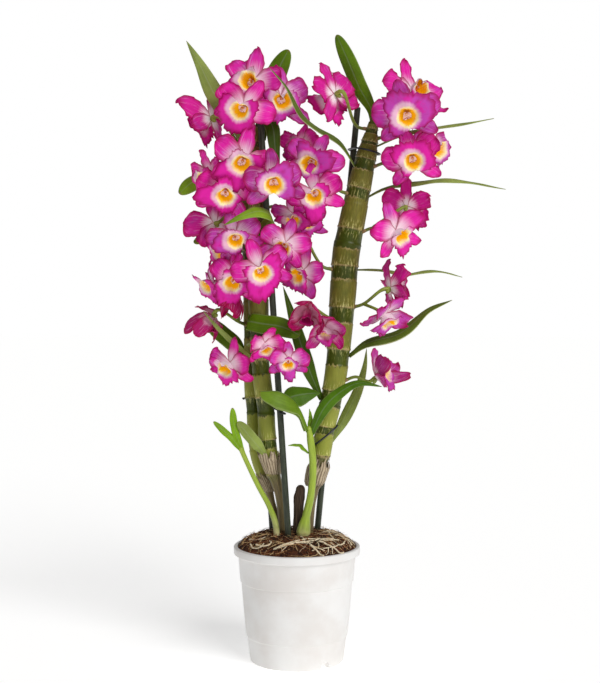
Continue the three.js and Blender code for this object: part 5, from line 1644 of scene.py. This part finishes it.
def add_heart(bm, place, settings):
    """The column in the throat with its cap, and the spur behind the lip."""
    tilt = Matrix.Rotation(settings.lip_tilt * 0.8, 4, "X")
    column = Path([place @ (tilt @ (Vector(point) * MM)) for point in COLUMN_LINE])
    size = place.to_scale().x

    def column_width(share):
        return (0.95 + 0.35 * ease(share, 0.3, 0.9)) * MM * size

    tube(bm, column, rounded(column, column_width, 8), HEART_SIDES, material=2, marks={"tone": 0.0})
    cap = Matrix.Translation(column.at(0.97)) @ Matrix.Scale(1.1 * MM * size, 4)
    made = bmesh.ops.create_uvsphere(bm, u_segments=12, v_segments=8, radius=1, matrix=cap)
    for face in {face for vert in made["verts"] for face in vert.link_faces}:
        face.material_index = 3
        face.smooth = True
    spur = Path([place @ (Vector(point) * MM) for point in SPUR_LINE])
    tube(bm, spur, rounded(spur, lambda share: (2.3 - 0.8 * share) * MM * size, 8), HEART_SIDES,
         marks={"tone": 0.0})


def stalk_width(first, size):
    """Half width along a flower stalk: a thick foot, a slim run, and the ovary behind the bloom."""
    foot = 1.9 if first else 1.2
    stations = [(0, foot), (0.06, 1.6), (0.5, 1.45), (0.72, 1.55), (0.9, 1.9 * size),
                (1, 2.1 * size)]
    return lambda share: between(stations, share) * MM


def add_sprays(blooms, stems):
    petals = [finish(blooms, back) for finish in (petal_finish, lip_finish)
              for back in (False, True)]
    greens = [stalk_finish(blooms), speckled_finish("stalk_bract"),
              speckled_finish("column_flesh"), speckled_finish("column_cap")]
    for name, spray in SPRAYS.items():
        draw = random.Random(name)
        cane, height = spray["on"][:2]
        middle, _ = section_at(cane, height * MM, stems)
        spots = [Vector(bloom["at"]) for bloom in spray["blooms"]]
        centre = sum(spots, Vector()) / len(spots)
        direct = math.degrees(math.atan2(centre.y * MM - middle.y, centre.x * MM - middle.x))
        azimuth = spray["on"][2] if len(spray["on"]) > 2 else direct
        foot, out = cane_foot((cane, height, azimuth), stems, STALK_SINK)
        fork = foot + out * (FORK_REACH + 2 * MM) + Vector((0, 0, FORK_RISE))
        sheets, stalks = new_bm("tone", "spread", "closing"), new_bm("tone")
        for index, bloom in enumerate(spray["blooms"]):
            size, opened = bloom.get("size", 1), bloom.get("open", 1)
            place, tone = bloom_place(bloom), draw.uniform(-1, 1) - 0.6 * (1 - opened)
            for petal, angles in ((False, SEPALS), (True, PETALS)):
                for angle in angles:
                    add_tepal(sheets, place, blooms, angle, petal, 1 - opened, draw, tone)
            add_lip(sheets, place, blooms, bloom, draw, tone)
            add_heart(stalks, place, blooms)
            forward, at = facing(*bloom["face"]), Vector(bloom["at"]) * MM
            start = [foot, fork] if index == 0 else [fork - out * 1.15 * MM]
            path = Path([*start, at - forward * BACK_REACH * size, at])
            tube(stalks, path, rounded(path, stalk_width(index == 0, size), 26), 12,
                 marks={"tone": tone})
        bract = Path([foot - out * MM, foot + out * 2.2 * MM + Vector((0, 0, 0.8 * MM)),
                      foot + out * 5 * MM + Vector((0, 0, 2 * MM))])
        tube(stalks, bract, rounded(bract, lambda share: (2.4 - 1.1 * share) * MM, 8), 10,
             material=1, marks={"tone": 0.0})
        add_piece(f"{name}_blooms", sheets, petals, [name], wall=blooms.thickness)
        add_piece(f"{name}_stalks", stalks, greens, [name])


# ------------------------------------------------------------------ stage

KEY_PLACE = (1.1, -1.5, 1.6)     # metres, as are the next three
KEY_AIM = (0, 0, 0.32)
CAMERA_X = 0.003
FAR_CLIP = 40


def add_key(stage):
    """A broad, soft light from the front right."""
    data = bpy.data.lights.new("key", "SUN")
    data.energy = stage.key_strength
    data.angle = stage.key_spread
    made = bpy.data.objects.new("key", data)
    made.location = KEY_PLACE
    made.rotation_euler = (Vector(KEY_AIM) - Vector(KEY_PLACE)).to_track_quat("-Z", "Y").to_euler()
    bpy.context.scene.collection.objects.link(made)


def add_stage(stage):
    """A plain pale floor, soft light all round, the key light and the camera."""
    scene = bpy.context.scene
    bm = bmesh.new()
    bmesh.ops.create_circle(bm, cap_ends=True, segments=96, radius=stage.floor_radius)
    paper = Wiring("floor_paper", 0.9, specular=0.0)
    paper.glow((1.0, 1.0, 1.0), stage.glow)
    floor = add_object("floor", bm, [paper.colour(stage.floor)])
    floor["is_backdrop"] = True

    world = bpy.data.worlds.new("studio")
    world.use_nodes = True
    nodes, links = world.node_tree.nodes, world.node_tree.links
    soft = nodes["Background"]
    soft.inputs["Color"].default_value = (1, 1, 1, 1)
    soft.inputs["Strength"].default_value = stage.ambient
    plain = nodes.new("ShaderNodeBackground")
    plain.inputs["Color"].default_value = (1, 1, 1, 1)
    choose = nodes.new("ShaderNodeMixShader")
    links.new(nodes.new("ShaderNodeLightPath").outputs["Is Camera Ray"], choose.inputs["Fac"])
    links.new(soft.outputs["Background"], choose.inputs[1])
    links.new(plain.outputs["Background"], choose.inputs[2])
    links.new(choose.outputs["Shader"], nodes["World Output"].inputs["Surface"])
    scene.world = world

    add_key(stage)

    data = bpy.data.cameras.new("view")
    data.lens = stage.lens
    data.clip_end = FAR_CLIP
    camera = bpy.data.objects.new("view", data)
    camera.location = (CAMERA_X, -stage.distance, stage.eye_height)
    camera.rotation_euler = (math.pi / 2 - stage.pitch, 0, 0)
    scene.collection.objects.link(camera)
    scene.camera = camera
    scene.view_settings.view_transform = "Standard"


# ------------------------------------------------------------------ operators and panel

class DENDROBIUM_OT_pot(Operator):
    """Add the nursery pot"""
    bl_idname = "dendrobium.pot"
    bl_label = "Pot"

    def execute(self, context):
        add_pot(context.scene.dendrobium_pot)
        return {"FINISHED"}


class DENDROBIUM_OT_coir(Operator):
    """Add the bed of coir with its fibres and chips"""
    bl_idname = "dendrobium.coir"
    bl_label = "Coir"

    def execute(self, context):
        add_coir(context.scene.dendrobium_coir)
        return {"FINISHED"}


class DENDROBIUM_OT_roots(Operator):
    """Add the roots that lie on the coir"""
    bl_idname = "dendrobium.roots"
    bl_label = "Roots"

    def execute(self, context):
        add_roots(context.scene.dendrobium_coir)
        return {"FINISHED"}


class DENDROBIUM_OT_stakes(Operator):
    """Add the three support stakes"""
    bl_idname = "dendrobium.stakes"
    bl_label = "Stakes"

    def execute(self, context):
        add_stakes(context.scene.dendrobium_stems)
        return {"FINISHED"}


class DENDROBIUM_OT_canes(Operator):
    """Add the three mature canes with their papery sheaths"""
    bl_idname = "dendrobium.canes"
    bl_label = "Canes"

    def execute(self, context):
        add_canes(context.scene.dendrobium_stems)
        add_husks(context.scene.dendrobium_stems)
        return {"FINISHED"}


class DENDROBIUM_OT_stub(Operator):
    """Add the foot of the old, dried-up cane"""
    bl_idname = "dendrobium.stub"
    bl_label = "Old cane"

    def execute(self, context):
        add_stub(context.scene.dendrobium_stems)
        return {"FINISHED"}


class DENDROBIUM_OT_ties(Operator):
    """Add the wire ties"""
    bl_idname = "dendrobium.ties"
    bl_label = "Ties"

    def execute(self, context):
        add_ties(context.scene.dendrobium_stems)
        return {"FINISHED"}


class DENDROBIUM_OT_shoots(Operator):
    """Add the two young shoots"""
    bl_idname = "dendrobium.shoots"
    bl_label = "Shoots"

    def execute(self, context):
        add_shoots(context.scene.dendrobium_stems, context.scene.dendrobium_leaves)
        return {"FINISHED"}


class DENDROBIUM_OT_leaves(Operator):
    """Add the strap leaves of the canes"""
    bl_idname = "dendrobium.leaves"
    bl_label = "Leaves"

    def execute(self, context):
        add_leaves(context.scene.dendrobium_leaves, context.scene.dendrobium_stems)
        return {"FINISHED"}


class DENDROBIUM_OT_sprays(Operator):
    """Add the flower sprays: stalks, petals and lips"""
    bl_idname = "dendrobium.sprays"
    bl_label = "Sprays"

    def execute(self, context):
        add_sprays(context.scene.dendrobium_blooms, context.scene.dendrobium_stems)
        return {"FINISHED"}


class DENDROBIUM_OT_stage(Operator):
    """Add the floor, the lights and the camera"""
    bl_idname = "dendrobium.stage"
    bl_label = "Stage"

    def execute(self, context):
        add_stage(context.scene.dendrobium_stage)
        return {"FINISHED"}


SETTINGS = {
    "dendrobium_pot": PotSettings,
    "dendrobium_coir": CoirSettings,
    "dendrobium_stems": StemSettings,
    "dendrobium_leaves": LeafSettings,
    "dendrobium_blooms": BloomSettings,
    "dendrobium_stage": StageSettings,
}
OPERATORS = (
    DENDROBIUM_OT_stage, DENDROBIUM_OT_pot, DENDROBIUM_OT_coir, DENDROBIUM_OT_roots,
    DENDROBIUM_OT_stakes, DENDROBIUM_OT_canes, DENDROBIUM_OT_stub, DENDROBIUM_OT_ties,
    DENDROBIUM_OT_shoots, DENDROBIUM_OT_leaves, DENDROBIUM_OT_sprays,
)


class VIEW3D_PT_dendrobium(Panel):
    """Lists the pieces and their settings"""
    bl_label = "Potted Dendrobium"
    bl_space_type = "VIEW_3D"
    bl_region_type = "UI"
    bl_category = "Dendrobium"

    def draw(self, context):
        layout = self.layout
        for operator in OPERATORS:
            layout.operator(operator.bl_idname)
        for name, group in SETTINGS.items():
            box = layout.box()
            box.label(text=group.__doc__)
            for setting in group.__annotations__:
                box.prop(getattr(context.scene, name), setting)


CLASSES = (*SETTINGS.values(), *OPERATORS, VIEW3D_PT_dendrobium)


def register():
    for cls in CLASSES:
        bpy.utils.register_class(cls)
    for name, group in SETTINGS.items():
        setattr(bpy.types.Scene, name, PointerProperty(type=group))


def unregister():
    for name in SETTINGS:
        delattr(bpy.types.Scene, name)
    for cls in reversed(CLASSES):
        bpy.utils.unregister_class(cls)


def main():
    register()
    for operator in OPERATORS:
        getattr(bpy.ops.dendrobium, operator.bl_idname.split(".")[1])()
    boxes = {"cad": CAD_BOX, "visual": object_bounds()}
    {name: [list(corner) for corner in box] for name, box in boxes.items()}


if __name__ == "__main__":
    main()
